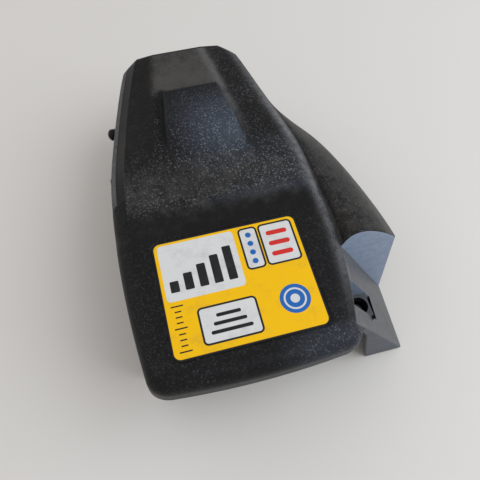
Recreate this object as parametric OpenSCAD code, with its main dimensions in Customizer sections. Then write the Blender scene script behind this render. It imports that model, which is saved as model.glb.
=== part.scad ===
// Cylinder cover of a chainsaw: a moulded shell with a label panel, a hump, a flared side and captive screws.
// Shapes are drawn about a point of the label panel: X to the flared side, Y to the rear, Z up.
// place() then moves everything so that the origin is the bottom centre of the whole part.

/* [Cover] */
// Height of the label panel above the base rim
cover_height = 75; // [68:1:82]
// Distance from the panel's origin to the front edge of the roof
roof_front = 33; // [32:0.5:36]
// Distance from the panel's origin to the rear edge of the roof
roof_rear = 167.5; // [160:0.5:172]
// Reach of the left side from the panel's origin
left_reach = 55.6; // [53:0.1:58]
// Reach of the crease on the right side from the panel's origin
right_reach = 55; // [53:0.1:57]
// Distance behind the panel's origin at which the roof is widest
widest_y = 33; // [28:1:40]
// Thickness of the moulded walls
wall = 2.4; // [2:0.1:2.8]

/* [Hump] */
// Rise of the hump above the roof
hump_rise = 9; // [6:0.5:11]
// Distance behind the panel's origin of the top of the hump's rear slope
hump_rear = 126; // [123:1:128]
// Fall of the roof's sides beside the rear ramp
side_fall = 3.5; // [2:0.5:6]

/* [Flare] */
// Reach of the base rim on the flared side from the panel's origin
rim_reach = 95.5; // [92:0.5:98]
// Distance behind the panel's origin of the flat end of the flare
facet_y = 11.5; // [9:0.5:14]
// Width of the flare at its flat end
flare_w = 33; // [30:0.5:34]
// Length of the flare
flare_length = 120; // [114:1:124]
// Distance in front of the panel's origin of the foot's face
foot_y = 29.3; // [28:0.1:31]

/* [Label] */
// Width of the label
label_w = 75; // [60:1:76]
// Length of the label
label_l = 62; // [50:1:64]
// Thickness of the label
label_t = 0.3; // [0.2:0.1:0.5]
// Distance behind the panel's origin of the label's centre
label_y = 4; // [0:0.5:4]

/* [Screws] */
// Outer diameter of the screws' thread
thread_d = 5; // [4:0.5:6]
// Diameter of the neck between a screw's head and its thread
neck_d = 3.9; // [3:0.1:3.9]
// Distance that a loosened screw can be drawn out
screw_travel = 7.5; // [5:0.5:7.5]

/* [Hidden] */
$fn = 48;

// Curvature of the sides in plan: the half width falls by distance squared over this length
right_front_bend = 481;
right_rear_bend = 886;
left_front_bend = 1044;
left_rear_bend = 830;

// Edges of the roof
front_round = 8;
front_lean = -0.06;
front_bow = 3.4;
lip_depth = 18;
rear_round = 3.5;
corner_r = 2;
rear_cut_l = 7;
rear_cut_w = 4;
corner_set = 1.8;
crease_w = 4.4;
crease_fall = 2.6;
crease_bow = 0.3;
left_edge_w = 9;
left_edge_fall = 8;
band_start = 64;
band_w = 5.8;
band_fall = 5.5;
ledge_w = 8.4;
ledge_fall = 6.6;
left_lean = 0.05;
side_rim_rise = 30;
rim_rise_start = 104;
rim_rise_end = 158;
left_rim_start = -31;
left_rim_end = -8;
notch_depth = 13.5;

// Roof: a shallow valley behind the label, then a ramp to the rear with falling sides
valley_y = 46;
valley_l = 8;
valley_fall = 0.8;
panel_end = 36;
ramp_start = 50;
ramp_l = 34;
ramp_rise = 2;
ridge_left_rear = 13.4;
ridge_right_rear = 17.2;
ridge_left_spread = 0.118;
ridge_right_spread = 0.15;
ridge_share = 0.6;
fall_start = 74;
fall_l = 46;
rear_lift = 0.6;
rear_lift_start = 130;
rear_lift_l = 35;
hump_front = 74;
hump_front_l = 30;
hump_rear_l = 8.5;
hump_bow = 14;
hump_left_margin = 2;
hump_right_margin = 0.5;
hump_left_side = 4;
hump_right_side = 5;

// Flare: its outer edge runs rearwards, inwards and down
facet_gap = 0.1;
near = 0.01;
flare_edge_fall = 6;
flare_rear_fall = 19;
flare_narrowing = 0.42;
flare_end_power = 8;
flare_min_w = 1.5;
flare_arch = 18;
arch_taper = 1.4;
arch_root_pull = [0.1, 1];
arch_edge_pull = [-0.8, 0.9];
skirt_front_rim = 93.2;

// Foot: flat plate across the front end of the skirt
foot_t = 3;
foot_proud = 0.5;
foot_inner_x = 70;
foot_knee = [60, -28.5];
foot_top = [50.5, -9];
foot_rim_gap = 0.3;
skirt_inset = 0.7;

// Screw well in the skirt
well_x = [52.5, 71.5];
well_y = [-20, -7];
well_r = 2;
well_floor = -27;
well_wall = 2;
well_turn = 10;
gap_low = [67.3, -19.5, -42];
gap_size = [3.9, 12, 22];
bore_x = 61.5;
bore_y = (well_y[0] + well_y[1]) / 2;
front_seat = -40;

// Left and rear screws
left_seat_x = -42.6;
left_screw_y = 129;
left_screw_z = -19;
lug_low = [-54.2, 79, -22];
lug_size = [3.2, 15, 5];
rear_screw_x = 2;
rear_screw_z = -26;
rear_seat_depth = 6.5;

// Screw stack, measured along the screw from its seat
head_d = 8.5;
head_h = 5;
head_room_d = 9.8;
dome_d = 7;
dome_h = 7.5;
dome_r = 4.2;
socket_d = 4.6;
socket_depth = 2.6;
washer_d = 9;
washer_t = 1;
washer_bore = 4.06;
play = 0.1;
sleeve_d = 7.4;
sleeve_bore = 5.3;
sleeve_l = 10;
retainer_d = 8.4;
retainer_bore = 4.06;
retainer_t = 1.2;
boss_d = 13.6;
boss_l = sleeve_l + retainer_t;
thread_l = 14;
thread_tip = 0.8;
neck_spare = 0.3;
neck_l = boss_l + screw_travel + neck_spare;
head_low = washer_t + 2 * play;
left_clear = 12;
rear_clear = 4;

// Overlap and height of the cuts
cut_over = 1;
cut_top = 20;

// Label: its pocket in the roof
label_r = 4;
pocket_depth = 0.6;
pocket_border = 0.8;

// Heat shield on three posts, and the partition with its foam strip
shield_w = 76;
shield_l = 52;
shield_t = 0.8;
shield_r = 6;
shield_z = -9;
post_d = 4;
post_shoulder_d = 8;
post_end = -13;
post_room = 0.2;
post_spots = [[-30, -18], [30, -18], [0, 19]];
nut_d = 9;
nut_t = 0.6;
partition_y = 66;
partition_half_w = 38;
partition_t = 2;
partition_z = -26;
seal_t = 8;
seal_h = 6;
seal_groove = 3;

// Whole part, from its leftmost, front and rear reaches to its place about the origin
left_rim_reach = left_reach + left_lean * (cover_height - left_edge_fall);
frame_x = (rim_reach - left_rim_reach) / 2;
frame_y = (roof_rear + rear_round - roof_front - front_round) / 2;

module place() {
    translate([-frame_x, -frame_y, cover_height]) children();
}

// Helpers
function mix(a, b, t) = a + (b - a) * t;
function clamp01(t) = min(1, max(0, t));
function smooth(t) = let (c = clamp01(t)) c * c * (3 - 2 * c);
function bell(t) = abs(t) < 1 ? pow(1 - t * t, 2) : 0;

// Plan of the roof: each side is two parabolas, with round front corners and cut rear corners
function side_reach(y, reach, front_bend, rear_bend) =
    reach - pow(y - widest_y, 2) / (y < widest_y ? front_bend : rear_bend);
function front_corner(y) =
    let (d = corner_r - (y + roof_front)) d > 0 ? corner_r - sqrt(corner_r * corner_r - d * d) : 0;
function rear_corner(y) = max(0, y - (roof_rear - rear_cut_l)) * rear_cut_w / rear_cut_l;
function crease_x(y) = side_reach(y, right_reach, right_front_bend, right_rear_bend);
function left_x(y) = side_reach(y, left_reach, left_front_bend, left_rear_bend);
function roof_right(y) = crease_x(y) - crease_w / 2 - front_corner(y) - rear_corner(y);
function roof_left(y) = left_x(y) - left_edge_w - front_corner(y);
function front_line(x) = front_bow * pow(x / right_reach, 2);

// Lines that the roof's grid follows from front to rear
function ridge_left(y) =
    min(ridge_left_rear + ridge_left_spread * (roof_rear - y), ridge_share * roof_left(y));
function ridge_right(y) =
    min(ridge_right_rear + ridge_right_spread * (roof_rear - y), ridge_share * roof_right(y));
function foot_left(y) = ridge_left(y) - hump_left_margin;
function foot_right(y) = ridge_right(y) - hump_right_margin;
function rail(y) =
    [-roof_left(y), -ridge_left(y), -foot_left(y), hump_left_side - foot_left(y),
     foot_right(y) - hump_right_side, foot_right(y), ridge_right(y), roof_right(y)];
rail_steps = [4, 1, 3, 5, 3, 1, 4];
M = 21;

// Height of the roof, whose inner skin has a narrower hump, less by inset all round
function ramp_z(y) =
    ramp_rise * smooth((y - ramp_start) / ramp_l) - valley_fall * bell((y - valley_y) / valley_l);
function fall_z(x, y) =
    let (ridge = x < 0 ? ridge_left(y) : ridge_right(y),
         edge = x < 0 ? roof_left(y) : roof_right(y),
         lift = 1 - rear_lift * smooth((y - rear_lift_start) / rear_lift_l))
    -side_fall * smooth((y - fall_start) / fall_l) * lift * clamp01((abs(x) - ridge) / (edge - ridge));
function hump_z(x, y, inset) =
    let (foot = (x < 0 ? foot_left(y) : foot_right(y)) - inset,
         across = (foot - abs(x)) / (x < 0 ? hump_left_side : hump_right_side),
         back = (hump_rear + hump_rear_l - inset - y) / hump_rear_l,
         edge = 1 - norm([max(0, 1 - across), max(0, 1 - back)]),
         bow = hump_bow * min(1, pow(x / foot, 2)),
         front = (y - hump_front - inset - bow) / (hump_front_l - bow))
    hump_rise * smooth(front) * smooth(edge);
function roof_z(x, y, inset) = y < panel_end ? 0 : ramp_z(y) + fall_z(x, y) + hump_z(x, y, inset);

// Base rim along the sides
function side_rim(y) =
    -cover_height + side_rim_rise * smooth((y - rim_rise_start) / (rim_rise_end - rim_rise_start));
function left_rim(y) =
    mix(-lip_depth, side_rim(y), smooth((y - left_rim_start) / (left_rim_end - left_rim_start)));

// Wall profiles: ten steps from the roof's edge, at height z, to the rim, as [outward, up]
STEPS = 10;
ARC_STEP = 22.5;
function wall_run(o, z, lean, rim, n) =
    [for (k = [1 : n]) let (h = (z - rim) * k / n) [o + lean * h, z - h]];
function round_edge(w, fall, z, lean, rim) = concat(
    [for (k = [0 : 4]) [w * sin(k * ARC_STEP), z - fall * (1 - cos(k * ARC_STEP))]],
    wall_run(w, z - fall, lean, rim, 6));
function front_wall(z) = round_edge(front_round, front_round, z, front_lean, -lip_depth);
function rear_wall(z) = round_edge(rear_round, rear_round, z, 0, -cover_height + side_rim_rise);
function left_wall(y, z) = round_edge(left_edge_w, left_edge_fall, z, left_lean, left_rim(y));
function band_wall(y, z) = concat(
    [[0, z], [band_w / 2, z - band_fall / 2], [band_w, z - band_fall], [ledge_w, z - ledge_fall],
     [left_edge_w, z - left_edge_fall]],
    wall_run(left_edge_w, z - left_edge_fall, left_lean, left_rim(y), 6));
function crease(z) = [[0, z], [crease_w / 2, z - crease_fall * crease_bow], [crease_w, z - crease_fall]];
function skirt_wall(y, z, rim) =
    let (top = [crease_w, z - crease_fall],
         foot_x = mix(skirt_front_rim, rim_reach, (y + foot_y) / (foot_y + facet_y)) - roof_right(y),
         slope = (foot_x - top[0]) / (top[1] + cover_height))
    concat(crease(z), wall_run(top[0], top[1], slope, rim, 8));

// Flare: an arched shoulder from the crease to the outer edge, then the outer wall
function flare_u(y) = clamp01((y - facet_y) / flare_length);
function flare_width(u) = flare_w * (1 - flare_narrowing * u) * (1 - pow(u, flare_end_power));
function flare_edge(y, z) =
    [crease_w / 2 + max(flare_min_w, flare_width(flare_u(y))),
     min(z - crease_fall - 1, -flare_edge_fall - flare_rear_fall * flare_u(y))];
function bezier(a, b, c, d, t) =
    let (s = 1 - t) s * s * s * a + 3 * s * s * t * b + 3 * s * t * t * c + t * t * t * d;
flare_front_edge = flare_edge(facet_y, 0);
flare_lean =
    (rim_reach - roof_right(facet_y) - flare_front_edge[0]) / (cover_height + flare_front_edge[1]);
function flare_wall(y, z) =
    let (root = [crease_w, z - crease_fall],
         edge = flare_edge(y, z),
         arch = pow(1 - flare_u(y), arch_taper) * flare_arch,
         rise = root + arch_root_pull * arch,
         turn = edge + arch_edge_pull * arch)
    concat(crease(z), [for (k = [1 : 6]) bezier(root, rise, turn, edge, k / 6)],
           wall_run(edge[0], edge[1], flare_lean, side_rim(y), 2));

// Mitred inset of a wall profile: the inner skin, with its end points level with the outer ones
function unit(v) = v / norm(v);
function inner_normal(a, b) = let (d = unit(b - a)) [d[1], -d[0]];
function inset_profile(p) =
    let (n = len(p) - 1)
    [for (k = [0 : n])
        k == 0 ? [p[0][0], p[0][1] - wall] :
        k == n ? let (d = unit(p[n] - p[n - 1]), q = p[n] + inner_normal(p[n - 1], p[n]) * wall)
                 q + d * (p[n][1] - q[1]) / d[1] :
        let (a = inner_normal(p[k - 1], p[k]), b = inner_normal(p[k], p[k + 1]))
        p[k] + (a + b) * wall / (1 + a * b)];

// Stations from front to rear: close pairs stand at the foot's face, the flare's flat end and the band
stations = concat(
    [for (k = [0 : 4]) -roof_front + corner_r * (1 - cos(k * ARC_STEP))],
    [-foot_y - 1],
    [-foot_y - facet_gap / 2, -foot_y + facet_gap / 2],
    [-22, -16, -8, 2],
    [facet_y - facet_gap / 2, facet_y + facet_gap / 2],
    [22, widest_y, 40, 46, 52, 58],
    [band_start - facet_gap / 2, band_start + facet_gap / 2],
    [70, hump_front, 81, 88, 96, hump_front + hump_front_l, 110, 116, 121],
    [for (k = [0 : 4]) hump_rear + hump_rear_l * k / 4],
    [140, 146, roof_rear - rear_cut_l, roof_rear]);
N = len(stations) - 1;
LOOP = 2 * (M + N);

// Grid of the roof, as rows of points from left to right
function row_x(y) =
    let (r = rail(y))
    concat([for (s = [0 : 6], k = [0 : rail_steps[s] - 1]) mix(r[s], r[s + 1], k / rail_steps[s])], [r[7]]);
function front_shift(x, y) = front_line(x) * (1 - clamp01((y + roof_front) / corner_r));
roof_grid = [for (y = stations) [for (x = row_x(y)) [x, y + front_shift(x, y), roof_z(x, y, 0)]]];

// Walk round the roof's edge: front from left to right, right side rearwards, rear, then left side forwards
function edge_spot(k) =
    k < M ? [0, k] : k < M + N ? [k - M, M] : k < 2 * M + N ? [N, 2 * M + N - k] : [2 * M + 2 * N - k, 0];
function corner_turn(y) = acos(clamp01((corner_r - (y + roof_front)) / corner_r));
function side_direction(y, side) =
    side > 0 && y > roof_rear - near ? [sin(ARC_STEP), cos(ARC_STEP)] :
    side > 0 && y > roof_rear - rear_cut_l - near ? [cos(ARC_STEP), sin(ARC_STEP)] :
    [side * sin(corner_turn(y)), -cos(corner_turn(y))];
function edge_direction(k) =
    let (s = edge_spot(k), y = stations[s[0]])
    s[1] == M ? side_direction(y, 1) : s[1] == 0 ? side_direction(y, -1) : s[0] == 0 ? [0, -1] : [0, 1];
function right_profile(y, z, inset) =
    y < -foot_y - facet_gap ? let (t = clamp01((y + roof_front) / (roof_front - foot_y)), f = front_wall(z),
        s = skirt_wall(-foot_y, z, -notch_depth)) [for (k = [0 : STEPS]) mix(f[k], s[k], t)] :
    y < -foot_y ? skirt_wall(y, z, -notch_depth) :
    y < facet_y ? skirt_wall(y, z, -cover_height) : flare_wall(y + inset, z);
function left_profile(y, z, inside) =
    let (t = clamp01((y + roof_front) / corner_r), f = front_wall(z),
         s = inside || y > band_start ? band_wall(y, z) : left_wall(y, z))
    [for (k = [0 : STEPS]) mix(f[k], s[k], t)];
function edge_profile(k, inside) =
    let (s = edge_spot(k), y = stations[s[0]], z = roof_grid[s[0]][s[1]][2])
    s[0] == N && s[1] > 0 ? rear_wall(z) :
    s[1] == M ? right_profile(y, z, inside ? wall : 0) :
    s[1] == 0 ? left_profile(y, z, inside) : front_wall(z);
function facet_shift(k) =
    let (s = edge_spot(k), y = stations[s[0]]) s[1] == M && abs(y - facet_y) < facet_gap ? wall : 0;
function corner_back(k, inset) =
    let (s = edge_spot(k)) inset > 0 && s[0] == N && s[1] == 0 ? -corner_set : 0;
function wall_points(k, profile, inset) =
    let (s = edge_spot(k), p = roof_grid[s[0]][s[1]], d = edge_direction(k),
         facet_back = inset > 0 ? facet_shift(k) : 0)
    [for (t = [1 : STEPS])
        let (back = facet_back + corner_back(k, inset) * min(1, t / 3))
        [p[0] + d[0] * profile[t][0], p[1] + d[1] * profile[t][0] + back, profile[t][1]]];

// The skin is one closed surface: outer roof and walls, inner roof and walls, and the rim between them
module skin() {
    outer = [for (row = roof_grid) each row];
    inner = [for (p = outer) [p[0], p[1], roof_z(p[0], p[1], wall) - wall]];
    outer_wall = [for (k = [0 : LOOP - 1]) each wall_points(k, edge_profile(k, false), 0)];
    inner_wall = [for (k = [0 : LOOP - 1])
        each wall_points(k, inset_profile(edge_profile(k, true)), wall)];
    grid_n = len(outer);
    half_n = grid_n + LOOP * STEPS;
    function at(k, t, base) =
        let (j = k % LOOP, s = edge_spot(j))
        base + (t == 0 ? s[0] * (M + 1) + s[1] : grid_n + j * STEPS + t - 1);
    function quad(a, b, c, d) = [[a, b, c], [a, c, d]];
    roof_faces = [for (i = [0 : N - 1], j = [0 : M - 1]) let (a = i * (M + 1) + j)
        each quad(a, a + M + 1, a + M + 2, a + 1)];
    wall_faces = [for (k = [0 : LOOP - 1], t = [0 : STEPS - 1])
        each quad(at(k + 1, t, 0), at(k + 1, t + 1, 0), at(k, t + 1, 0), at(k, t, 0))];
    rim_faces = [for (k = [0 : LOOP - 1])
        each quad(at(k, STEPS, 0), at(k + 1, STEPS, 0), at(k + 1, STEPS, half_n), at(k, STEPS, half_n))];
    skin_faces = concat(roof_faces, wall_faces);
    inner_faces = [for (f = skin_faces) [f[0] + half_n, f[2] + half_n, f[1] + half_n]];
    polyhedron(concat(outer, outer_wall, inner, inner_wall), concat(skin_faces, rim_faces, inner_faces));
}

// Flat plate that closes the front end of the skirt and ends in the pointed foot
module foot_plate() {
    top_x = crease_x(-foot_y) + crease_w / 2 - skirt_inset;
    foot_z = foot_rim_gap - cover_height;
    translate([0, -foot_y - foot_proud, 0]) rotate([90, 0, 0]) mirror([0, 0, 1]) linear_extrude(foot_t)
        polygon([[top_x, -crease_fall - skirt_inset], [skirt_front_rim - skirt_inset, foot_z],
                 [foot_inner_x, foot_z], foot_knee, foot_top]);
}

// Flat rectangle with round corners
module rounded_rect(w, l, r) {
    for (x = [r - w / 2, w / 2 - r], y = [r - l / 2, l / 2 - r]) translate([x, y]) circle(r);
    square([w, l - 2 * r], center = true);
    square([w - 2 * r, l], center = true);
}

// Upright prism of the screw well, larger than the well by the given border
module well_prism(border, low, high) {
    translate([(well_x[0] + well_x[1]) / 2, bore_y, low]) linear_extrude(high - low)
        rounded_rect(well_x[1] - well_x[0] + 2 * border, well_y[1] - well_y[0] + 2 * border, well_r + border);
}

// Wall of the screw well with its screw boss, cut off inside the thickness of the skirt
module well_body() {
    edge_x = crease_x(bore_y) + crease_w / 2;
    foot_x = mix(skirt_front_rim, rim_reach, (bore_y + foot_y) / (foot_y + facet_y));
    lean = atan((foot_x - edge_x) / (cover_height - crease_fall));
    trim_size = cover_height;
    intersection() {
        union() {
            well_prism(well_wall, well_floor - well_wall, -wall / 2);
            front_screw_frame() boss(well_floor - front_seat);
        }
        translate([edge_x, bore_y, -crease_fall]) rotate([0, -lean, well_turn])
            translate([-trim_size, -trim_size / 2, -trim_size])
                cube([trim_size - skirt_inset, trim_size, 2 * trim_size]);
    }
}

// Screw frames: the seat is the origin and the screw points along -Z
module front_screw_frame() { translate([bore_x, bore_y, front_seat]) children(); }
module left_screw_frame() {
    translate([left_seat_x, left_screw_y, left_screw_z]) rotate([0, -90, 0]) children();
}
module rear_screw_frame() {
    translate([rear_screw_x, roof_rear + rear_round - rear_seat_depth, rear_screw_z])
        rotate([-90, 0, 0]) children();
}

module boss(above) { translate([0, 0, -boss_l]) cylinder(d = boss_d, h = boss_l + above); }
module boss_bore(above) {
    translate([0, 0, -boss_l - cut_over]) cylinder(d = retainer_d, h = retainer_t + cut_over);
    translate([0, 0, -sleeve_l - cut_over / 2]) cylinder(d = sleeve_d, h = sleeve_l + cut_over);
    cylinder(d = head_room_d, h = above + cut_over);
}

module cover_shell() {
    color([0.07, 0.07, 0.08]) place() difference() {
        union() {
            skin();
            foot_plate();
            well_body();
            left_screw_frame() boss(0);
            rear_screw_frame() boss(rear_seat_depth - wall / 2);
            translate(lug_low) cube(lug_size);
            for (p = post_spots) translate([p[0], p[1], 0]) {
                translate([0, 0, post_end]) cylinder(d = post_d, h = -post_end - wall / 2);
                translate([0, 0, shield_z]) cylinder(d = post_shoulder_d, h = -shield_z - wall / 2);
            }
            translate([-partition_half_w, partition_y, partition_z])
                cube([2 * partition_half_w, partition_t, -partition_z - wall / 2]);
        }
        well_prism(0, well_floor, cut_top);
        translate(gap_low) cube(gap_size);
        translate([0, label_y, -pocket_depth]) linear_extrude(cut_top)
            rounded_rect(label_w + 2 * pocket_border, label_l + 2 * pocket_border, label_r + pocket_border);
        front_screw_frame() boss_bore(well_floor - front_seat);
        left_screw_frame() boss_bore(left_clear);
        rear_screw_frame() boss_bore(rear_seat_depth + rear_clear);
    }
}

module label() {
    color([0.95, 0.72, 0.08]) place() translate([0, label_y, -pocket_depth]) linear_extrude(label_t)
        rounded_rect(label_w, label_l, label_r);
}

// Screw: head above its washer, thin neck through the boss, then the thread
module screw_shank() {
    translate([0, 0, -neck_l]) cylinder(d = neck_d, h = neck_l + head_low + cut_over / 2);
    translate([0, 0, -neck_l - thread_l + thread_tip]) cylinder(d = thread_d, h = thread_l - thread_tip);
    translate([0, 0, -neck_l - thread_l])
        cylinder(d1 = thread_d - 2 * thread_tip, d2 = thread_d, h = thread_tip);
}
module socket_screw() {
    difference() {
        union() {
            screw_shank();
            translate([0, 0, head_low]) cylinder(d = head_d, h = head_h);
        }
        translate([0, 0, head_low + head_h - socket_depth])
            cylinder(d = socket_d, h = socket_depth + cut_over, $fn = 6);
    }
}
module dome_screw() {
    screw_shank();
    translate([0, 0, head_low]) intersection() {
        cylinder(d = dome_d, h = dome_h);
        translate([0, 0, dome_h - dome_r]) sphere(r = dome_r);
    }
}
module ring(outer_d, bore_d, low, high) {
    translate([0, 0, low]) difference() {
        cylinder(d = outer_d, h = high - low);
        translate([0, 0, -cut_over]) cylinder(d = bore_d, h = high - low + 2 * cut_over);
    }
}
module washer() { color([0.62, 0.63, 0.65]) ring(washer_d, washer_bore, play, play + washer_t); }
module sleeve() { color([0.55, 0.56, 0.58]) ring(sleeve_d, sleeve_bore, -sleeve_l, 0); }
module retainer() { color([0.85, 0.83, 0.78]) ring(retainer_d, retainer_bore, -boss_l, -sleeve_l); }

module front_screw() { color([0.25, 0.24, 0.23]) place() front_screw_frame() socket_screw(); }
module left_screw() { color([0.03, 0.03, 0.03]) place() left_screw_frame() dome_screw(); }
module rear_screw() { color([0.25, 0.24, 0.23]) place() rear_screw_frame() socket_screw(); }
module front_washer() { place() front_screw_frame() washer(); }
module left_washer() { place() left_screw_frame() washer(); }
module rear_washer() { place() rear_screw_frame() washer(); }
module front_sleeve() { place() front_screw_frame() sleeve(); }
module left_sleeve() { place() left_screw_frame() sleeve(); }
module rear_sleeve() { place() rear_screw_frame() sleeve(); }
module front_retainer() { place() front_screw_frame() retainer(); }
module left_retainer() { place() left_screw_frame() retainer(); }
module rear_retainer() { place() rear_screw_frame() retainer(); }

module heat_shield() {
    color([0.75, 0.76, 0.78]) place() translate([0, 0, shield_z - shield_t]) linear_extrude(shield_t)
        difference() {
            rounded_rect(shield_w, shield_l, shield_r);
            for (p = post_spots) translate(p) circle(d = post_d + 2 * post_room);
        }
}

module push_nuts() {
    color([0.6, 0.6, 0.62]) place() for (p = post_spots) translate([p[0], p[1], shield_z - shield_t])
        ring(nut_d, post_d, -nut_t, 0);
}

module baffle_seal() {
    low = partition_z - seal_h + seal_groove;
    color([0.2, 0.2, 0.21]) place() difference() {
        translate([-partition_half_w, partition_y + partition_t / 2 - seal_t / 2, low])
            cube([2 * partition_half_w, seal_t, seal_h]);
        translate([-partition_half_w - cut_over, partition_y, partition_z])
            cube([2 * (partition_half_w + cut_over), partition_t, seal_h]);
    }
}

cover_shell();
label();
front_screw();
left_screw();
rear_screw();
front_washer();
left_washer();
rear_washer();
front_sleeve();
left_sleeve();
rear_sleeve();
front_retainer();
left_retainer();
rear_retainer();
heat_shield();
push_nuts();
baffle_seal();
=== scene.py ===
"""Cylinder cover of a chainsaw: fine surfaces, finishes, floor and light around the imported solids."""

import math

import bpy
import numpy as np
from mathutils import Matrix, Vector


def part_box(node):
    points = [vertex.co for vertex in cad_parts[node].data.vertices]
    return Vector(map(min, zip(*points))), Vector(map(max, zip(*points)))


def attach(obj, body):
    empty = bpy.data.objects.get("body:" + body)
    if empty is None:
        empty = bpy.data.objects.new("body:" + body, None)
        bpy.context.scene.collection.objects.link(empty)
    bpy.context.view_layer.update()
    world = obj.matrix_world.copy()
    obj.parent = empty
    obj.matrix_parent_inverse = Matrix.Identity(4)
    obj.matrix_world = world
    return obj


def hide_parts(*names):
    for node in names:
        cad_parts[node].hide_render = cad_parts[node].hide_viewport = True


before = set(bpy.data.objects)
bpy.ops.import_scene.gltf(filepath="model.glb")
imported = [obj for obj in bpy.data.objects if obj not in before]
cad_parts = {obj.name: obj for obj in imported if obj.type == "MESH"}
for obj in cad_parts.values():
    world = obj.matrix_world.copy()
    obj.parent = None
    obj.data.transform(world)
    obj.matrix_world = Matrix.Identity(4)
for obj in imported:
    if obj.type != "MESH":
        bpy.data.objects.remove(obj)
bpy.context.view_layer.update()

bl_info = {
    "name": "Chainsaw cylinder cover",
    "version": (1, 0, 0),
    "blender": (4, 5, 0),
    "location": "View3D > Sidebar > Cover",
    "description": "Builds the moulded cover, its label, screws and fittings, and a plain studio stage",
    "category": "Object",
}

MM = 0.001

# The label's solid gives the panel's origin, about which every shape is worked out in mm
POCKET_DEPTH = 0.6
POCKET_BORDER = 0.8
POCKET_SLOPE = 0.5
LABEL_Y = 4.0
LABEL_T = 0.3
LABEL_BEVEL = 0.08
LABEL_LOW, LABEL_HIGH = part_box("label")
PANEL_ORIGIN = np.array([
    (LABEL_LOW.x + LABEL_HIGH.x) / 2,
    (LABEL_LOW.y + LABEL_HIGH.y) / 2 - LABEL_Y * MM,
    LABEL_LOW.z + POCKET_DEPTH * MM,
])

# Plan of the roof
ROOF_FRONT = 33.0
ROOF_REAR = 167.5
LEFT_REACH = 55.6
RIGHT_REACH = 55.0
WIDEST_Y = 33.0
RIGHT_FRONT_BEND = 481.0
RIGHT_REAR_BEND = 886.0
LEFT_FRONT_BEND = 1044.0
LEFT_REAR_BEND = 830.0
FRONT_CORNER_R = 2.0
FRONT_BOW = 3.4
# Rear corners in plan: width, length and squareness of a quarter of a rounded rectangle
REAR_RIGHT_CORNER = (4.0, 7.0, 1.15)
REAR_LEFT_CORNER = (1.0, 2.0, 1.15)

# Roof: valley behind the label, rear ramp with falling sides, hump
VALLEY_Y = 46.0
VALLEY_L = 8.0
VALLEY_FALL = 0.8
PANEL_END = 36.0
RAMP_START = 50.0
RAMP_L = 34.0
RAMP_RISE = 2.0
RIDGE_LEFT = (13.4, 0.118)
RIDGE_RIGHT = (17.2, 0.15)
RIDGE_SHARE = 0.6
RIDGE_SOFT = 1.6
RIDGE_SOFT_REACH = 8.0
SIDE_FALL = 3.5
FALL_START = 74.0
FALL_L = 46.0
REAR_LIFT = 0.6
REAR_LIFT_START = 130.0
REAR_LIFT_L = 35.0
HUMP_FRONT = 74.0
HUMP_FRONT_L = 30.0
HUMP_REAR = 126.0
HUMP_REAR_L = 8.5
HUMP_BOW = 14.0
HUMP_MARGIN = (2.0, 0.5)
HUMP_SIDE = (4.0, 5.0)

# Edges and rims
FRONT_ROUND = 8.0
FRONT_LEAN = -0.06
LIP_DEPTH = 18.0
REAR_ROUND = 3.5
CREASE_W = 4.4
CREASE_FALL = 2.6
CREASE_BOW = 0.3
LEFT_EDGE_W = 9.0
LEFT_EDGE_FALL = 8.0
LEFT_LEAN = 0.05
BAND_START = 64.0
BAND_SKEW = 3.0
BAND_STEP_L = 1.4
BAND_W = 5.8
BAND_FALL = 5.5
LEDGE_W = 8.4
LEDGE_FALL = 6.6
SIDE_RIM_RISE = 30.0
RIM_RISE = (104.0, 158.0)
LEFT_RIM = (-31.0, -8.0)
NOTCH_DEPTH = 13.5

# Flare, skirt and foot on the right
FACET_Y = 11.5
FACET_GAP = 0.1
FLARE_W = 33.0
FLARE_LENGTH = 120.0
FLARE_NARROWING = 0.42
FLARE_END_POWER = 8
FLARE_EDGE_FALL = 6.0
FLARE_REAR_FALL = 19.0
FLARE_MIN_W = 1.5
FLARE_ARCH = 18.0
ARCH_TAPER = 1.4
ARCH_ROOT_PULL = np.array([0.1, 1.0])
ARCH_EDGE_PULL = np.array([-0.8, 0.9])
RIM_REACH = 95.5
SKIRT_FRONT_RIM = 93.2
FOOT_Y = 29.3
FOOT_T = 3.0
FOOT_PROUD = 0.3
FOOT_INSET = 0.7
FOOT_RIM_GAP = 0.3
FOOT_BEVEL = 0.5
FOOT_INNER_X = 70.0
FOOT_KNEE = (60.0, -28.5)
FOOT_TOP = (50.5, -9.0)
FOOT_MIDDLE = (71.0, -45.0)

# Screw seats with the screws' directions, and the bosses under them
FRONT_SEAT = np.array([61.5, -13.5, -40.0])
LEFT_SEAT = np.array([-42.6, 129.0, -19.0])
REAR_SEAT = np.array([2.0, 164.5, -26.0])
SEATS = {"front": (FRONT_SEAT, (0, 0, 1)), "left": (LEFT_SEAT, (-1, 0, 0)), "rear": (REAR_SEAT, (0, 1, 0))}
HEAD_ROOM_R = 4.9
SLEEVE_R = 3.7
RETAINER_R = 4.2
BOSS_R = 6.8
BOSS_BEVEL = 0.5
SLEEVE_L = 10.0
BOSS_L = 11.2
# Holes for the heads: a seat, the two axes along its wall, and the way from it to a spot outside that wall
HEAD_HOLES = ((LEFT_SEAT, (1, 2), (-6.0, 0.0, 0.0)), (REAR_SEAT, (0, 2), (0.0, 8.0, 0.0)))
HOLE_REACH = 4.0

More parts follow.
